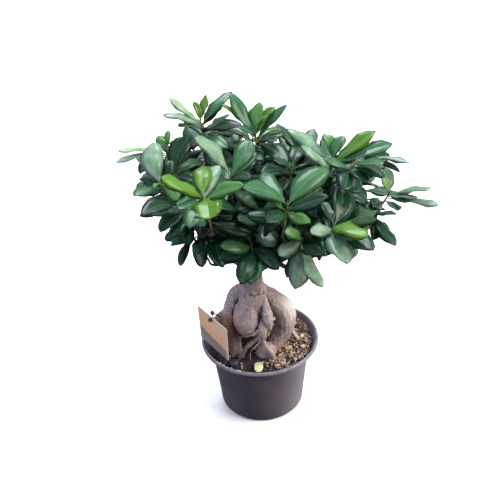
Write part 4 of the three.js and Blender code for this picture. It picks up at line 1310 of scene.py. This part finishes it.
# Painted highlight: a pale band along the card's right edge.
right_edge_highlight = add_node(tree, "ValToRGB", {0: uv["X"]}, [(0.93, "#000000"), (0.95, "#ffffff")])
border_and_edge_highlight = add_node(tree, "Math", {0: top_border, 1: right_edge_highlight}, operation="MAXIMUM")
trimmed = add_node(tree, "Mix", {"Factor": border_and_edge_highlight, "A": inked, "B": colour("#ddcfc4")},
                   data_type="RGBA")
wire(shader, {"Base Color": trimmed})
finish_piece(card, "plant_tag", [tag_card], ["tag"])

# %% [markdown]
# The tie is a thin wire covered in paper. It is knotted in front of the hole, goes through it and up
# behind the card, is knotted again and runs back to a root. It is drawn in straight stretches along
# its route, and a remesh melts them and the knots together.

# %% The tie
TIE_ROOT = (-48.6, -6.2, 136.6)
TIE_RADIUS = 0.75
KNOT_RADIUS = 2.5
TIE_VOXEL = 0.3
tie_front = on_tag(HOLE_ACROSS + 1.4, HOLE_UP + 3.4, 2.6)
tie_behind = on_tag(HOLE_ACROSS - 0.2, HOLE_UP - 0.4, -3)
tie_top = on_tag(HOLE_ACROSS - 0.4, HOLE_UP + 10.4, -2.8)


def knot(centre):
    """A small round turn of the wire."""
    bpy.ops.mesh.primitive_torus_add(
        location=centre * MM, major_radius=KNOT_RADIUS * 0.62 * MM, minor_radius=KNOT_RADIUS * 0.55 * MM,
        major_segments=20, minor_segments=12)
    ring = bpy.context.active_object
    ring.rotation_euler = (1.0, 0.5, 0.3)
    return settle(ring)


parts = [tube([a, (Vector(a) + Vector(b)) / 2, b], [TIE_RADIUS, TIE_RADIUS], 12, 3)
         for a, b in ((tie_front, tie_behind), (tie_behind, tie_top), (tie_top, TIE_ROOT))]
parts += [knot(tie_front), knot(tie_top)]
tie = join(parts)
modify(tie, "REMESH", mode="VOXEL", voxel_size=TIE_VOXEL * MM, use_smooth_shade=True)

# Paper twisted round wire: dark red-brown, waxed, with a low sheen.
tie_paper = grainy_material("paper_covered_wire", 0.55, 2, [(0.35, "#2a1f22"), (0.65, "#4c2c2e")],
                            0.1, 0.5, Detail=2.0)
finish_piece(tie, "tag_wire", [tie_paper], ["tag_tie"])

# %% [markdown]
# ## What lies on the soil
#
# A dark oval pebble is pressed into the peat at the front left, a small pale leaf has fallen in
# front of the trunk, and chips of bark and gravel cover the right and the back.

# %% Pebble
PEBBLE_AT = (-34.2, -41.5, SOIL_TOP + 2.2)
PEBBLE_HALF_SIZES = (6.4, 6, 5)

bpy.ops.object.select_all(action="DESELECT")
bpy.ops.mesh.primitive_ico_sphere_add(subdivisions=5, radius=1)
pebble = bpy.context.active_object
pebble.scale = Vector(PEBBLE_HALF_SIZES) * MM
pebble.location = Vector(PEBBLE_AT) * MM
settle(pebble)


def worn_stone(points, normals):
    """Flattened facets and fine pits, always inwards."""
    worn = 0.35 + 0.35 * lumps(points, 6, 2, 8) + 0.08 * lumps(points, 1.2, 2, 9)
    return points - normals * worn[:, None]


move_points(pebble, worn_stone)
pebble.data.shade_smooth()

# River slate: blue-black, matt where dry, with pale dust in the pits.
slate = grainy_material("river_slate", 0.6, 1.43, [(0.35, "#171a20"), (0.6, "#2a2e36"), (0.8, "#4c5058")],
                        0.2, 0.5, Detail=5.0)
finish_piece(pebble, "slate_pebble", [slate], ["stone"])

# %% Fallen leaf
FALLEN_FOOT = Vector((-3.7, -44.6, SOIL_TOP + 5.6))
FALLEN_TIP = Vector((-4, -60.4, SOIL_TOP + 2.4))
ROUND_WIDTHS = [0.3, 0.5, 0.64, 0.8, 0.93, 1.0, 0.98, 0.9, 0.74, 0.5, 0.04]

fallen_along = (FALLEN_TIP - FALLEN_FOOT).normalized()
fallen_up = (Vector((0, 0, 1)) - fallen_along * fallen_along.z).normalized()
fallen = {
    "start": FALLEN_FOOT, "along": fallen_along, "up": fallen_up,
    "length": (FALLEN_TIP - FALLEN_FOOT).length, "width": 13.6, "widths": ROUND_WIDTHS, "stalk": 0,
    "arch": 0.1, "fold": -0.1, "sway": 0, "curl": 0.1, "wave": 0.1, "blunt": 1, "seed": 3,
}
dropped = blades_from([bent_leaf(fallen)])
modify(dropped, "SUBSURF", levels=2, render_levels=2)

# A leaf that has lost its green: pale yellow, dull and darker olive towards its foot.
pale_leaf, tree, shader = new_material("yellowed_leaf", {"Roughness": 0.5})
uv = add_node(tree, "SeparateXYZ", {0: add_node(tree, "UVMap", uv_map="UVMap")}).outputs
place = add_node(tree, "TexCoord").outputs["Object"]
cloud = add_node(tree, "TexNoise", {"Vector": place, "Scale": scale_of(5), "Detail": 3.0})
mixed = add_node(tree, "Math", {0: cloud, 1: 0.5, 2: uv["X"]}, operation="MULTIPLY_ADD")
shade = add_node(tree, "ValToRGB", {0: mixed}, [(0.25, "#948f62"), (0.6, "#bfc38c"), (1.0, "#d2d6aa")])
raised = add_node(tree, "Bump", {"Height": cloud, "Distance": 0.2 * MM, "Strength": 0.5})
wire(shader, {"Base Color": shade, "Normal": raised})
finish_piece(dropped, "fallen_leaf_blade", [pale_leaf], ["fallen_leaf"])

# %% Chips of bark and gravel
CHIPS = 6800
CHIPS_REACH = 66
SPLINTER_HALF = 0.8
SPLINTER = np.array((1.5, 0.75, 0.45))
SPLINTER_SHARE = 0.55
# The bank at the right starts here. Left of it, the chips keep clear of the pot's wall.
BANK_LEFT = 12
WALL_CLEARANCE = 2.2
rng = np.random.default_rng(7)


def chip_shape(round_lump):
    """A broken lump that every chip of its kind is copied from."""
    bpy.ops.object.select_all(action="DESELECT")
    if round_lump:
        bpy.ops.mesh.primitive_ico_sphere_add(subdivisions=1, radius=1)
    else:
        bpy.ops.mesh.primitive_cube_add(size=2 * SPLINTER_HALF)
        bpy.ops.object.mode_set(mode="EDIT")
        bpy.ops.mesh.bevel(offset=0.25, segments=1, affect="EDGES")
        bpy.ops.object.mode_set(mode="OBJECT")
    lump = bpy.context.active_object
    points = np.array([vertex.co[:] for vertex in lump.data.vertices])
    faces = [list(face.vertices) for face in lump.data.polygons]
    bpy.data.objects.remove(lump)
    return points, faces


grit_shape, splinter_shape = chip_shape(True), chip_shape(False)
print("faces of a chip:", len(grit_shape[1]), "and", len(splinter_shape[1]))

# %% Chips that stand out
# Each has its place and its half sizes in millimetres, its turns about Z and about X in degrees, and
# its tone. The last six are a rootlet and grit that spilt on the rim.
BOLD_CHIPS = [
    ((23.6, -33.6, 91), (2.6, 1.5, 4.2), 10, 20, 0.99),
    ((35.4, -17.9, 91), (4.2, 2.4, 1.5), 20, 10, 0.56),
    ((45.6, 10, 91.2), (12, 2, 1.3), 108, 8, 0.7),
    ((49.6, -36.8, 91), (3.8, 2.2, 1.3), 30, 12, 0.7),
    ((54.6, 4.8, 91), (2.8, 2.2, 1.4), 60, 5, 0.9),
    ((54.1, -15.6, 91), (3.2, 2, 1.3), 20, 14, 0.96),
    ((27, -47, 91), (3, 1.6, 1.2), 20, 10, 0.7),
    ((34.5, -46.4, 91), (3.4, 1.7, 1.3), 40, 5, 0.72),
    ((41.6, -42, 91), (3.4, 1.9, 1.3), 48, 12, 0.9),
    ((19.5, -50.5, 91), (3.2, 1.6, 1.1), 5, 8, 0.7),
    ((-24.3, -49.4, 91.5), (0.4, 1.5, 0.35), -12, 0, 0.92),
    ((-24.3, -52.2, 91.5), (0.4, 1.5, 0.35), 14, 0, 0.92),
    ((-27.8, -67, 99.9), (3, 0.7, 0.3), -22, 0, 0.9),
    ((-50.6, -52, 99.9), (1.2, 0.8, 0.5), 40, 0, 0.9),
    ((-46.2, -55.4, 100), (1, 0.6, 0.5), 10, 0, 0.88),
    ((-53.6, -49.8, 99.9), (0.8, 0.6, 0.4), 70, 0, 0.92),
]
print("chips that stand out:", len(BOLD_CHIPS))

# %% Scattering the chips
chip_points, chip_faces, chip_tones = [], [], []


def chip_share(x, y):
    """How likely a chip is to lie here: rare in front at the left, common at the right and behind."""
    return np.clip((x + 0.3 * y + 8) / 14, 0.03, 1)


def chip_turn(spin, tilt, roll=0.0):
    """The turn of a chip that is rolled about Y, tilted about X and then spun about Z."""
    return Matrix.Rotation(spin, 3, "Z") @ Matrix.Rotation(tilt, 3, "X") @ Matrix.Rotation(roll, 3, "Y")


def add_chip(shape, half_sizes, turn, place, tone):
    """One chip: the lump with its corners knocked about, stretched, turned and set in its place."""
    points, faces = shape
    points = points * rng.uniform(0.78, 1.22, points.shape) * half_sizes
    first = len(chip_tones)
    chip_points.append(points @ np.array(turn).T + place)
    chip_faces.extend([i + first for i in face] for face in faces)
    chip_tones.extend([tone] * len(points))


for _ in range(CHIPS):
    radius = CHIPS_REACH * math.sqrt(rng.random())
    angle = 2 * math.pi * rng.random()
    x, y = radius * math.cos(angle), radius * math.sin(angle)
    draw, size, kind = rng.random(), rng.gamma(4, 0.26), rng.random()
    tone, spin, tilt = rng.uniform(0, 0.93), rng.uniform(0, 2 * math.pi), rng.normal(0, 0.5, 2)
    if draw > chip_share(x, y) or (radius > SOIL_RADIUS - WALL_CLEARANCE and x < BANK_LEFT):
        continue
    turned = chip_turn(spin, *tilt)
    z = SOIL_TOP + peat_height(x, y) + 0.3 * size + 1.2 * (x > BANK_LEFT) * rng.random()
    if kind < SPLINTER_SHARE:
        add_chip(splinter_shape, SPLINTER * size, turned, (x, y, z), tone)
    else:
        add_chip(grit_shape, np.array((1.0, 0.85, rng.uniform(0.5, 0.95))) * size, turned, (x, y, z), tone)

for place, half_sizes, spin, tilt, tone in BOLD_CHIPS:
    turned = chip_turn(math.radians(spin), math.radians(tilt))
    add_chip(splinter_shape, np.array(half_sizes) / SPLINTER_HALF, turned, place, tone)

chips = from_arrays("chips", np.concatenate(chip_points), chip_faces)
chips.data.shade_flat()
remember(chips, "tone", chip_tones)

# %% The chips' finish
# Composted bark, pumice and baked clay: dusty and matt, each chip in its own earthy colour.
chip_mix, tree, shader = new_material("bark_and_pumice_chips", {"Roughness": 0.9})
kind = add_node(tree, "Attribute", attribute_name="tone").outputs["Fac"]
palette = add_node(tree, "ValToRGB", {0: kind}, [
    (0.0, "#17110f"), (0.28, "#41322b"), (0.42, "#8a6f5c"), (0.56, "#c6a688"),
    (0.7, "#d4b1a4"), (0.8, "#8a8068"), (0.9, "#e8dac4"), (0.98, "#e6b380")])
place = add_node(tree, "TexCoord").outputs["Object"]
grain = add_node(tree, "TexNoise", {"Vector": place, "Scale": scale_of(1.11), "Detail": 4.0})
dust = add_node(tree, "ValToRGB", {0: grain}, [(0.37, "#3b332f"), (0.6, "#ffffff")])
dusty = add_node(tree, "Mix", {"Factor": 0.7, "A": palette, "B": dust},
                 data_type="RGBA", blend_type="MULTIPLY")
raised = add_node(tree, "Bump", {"Height": grain, "Distance": 0.4 * MM, "Strength": 0.7})
wire(shader, {"Base Color": dusty, "Normal": raised})
finish_piece(chips, "bark_chips", [chip_mix])
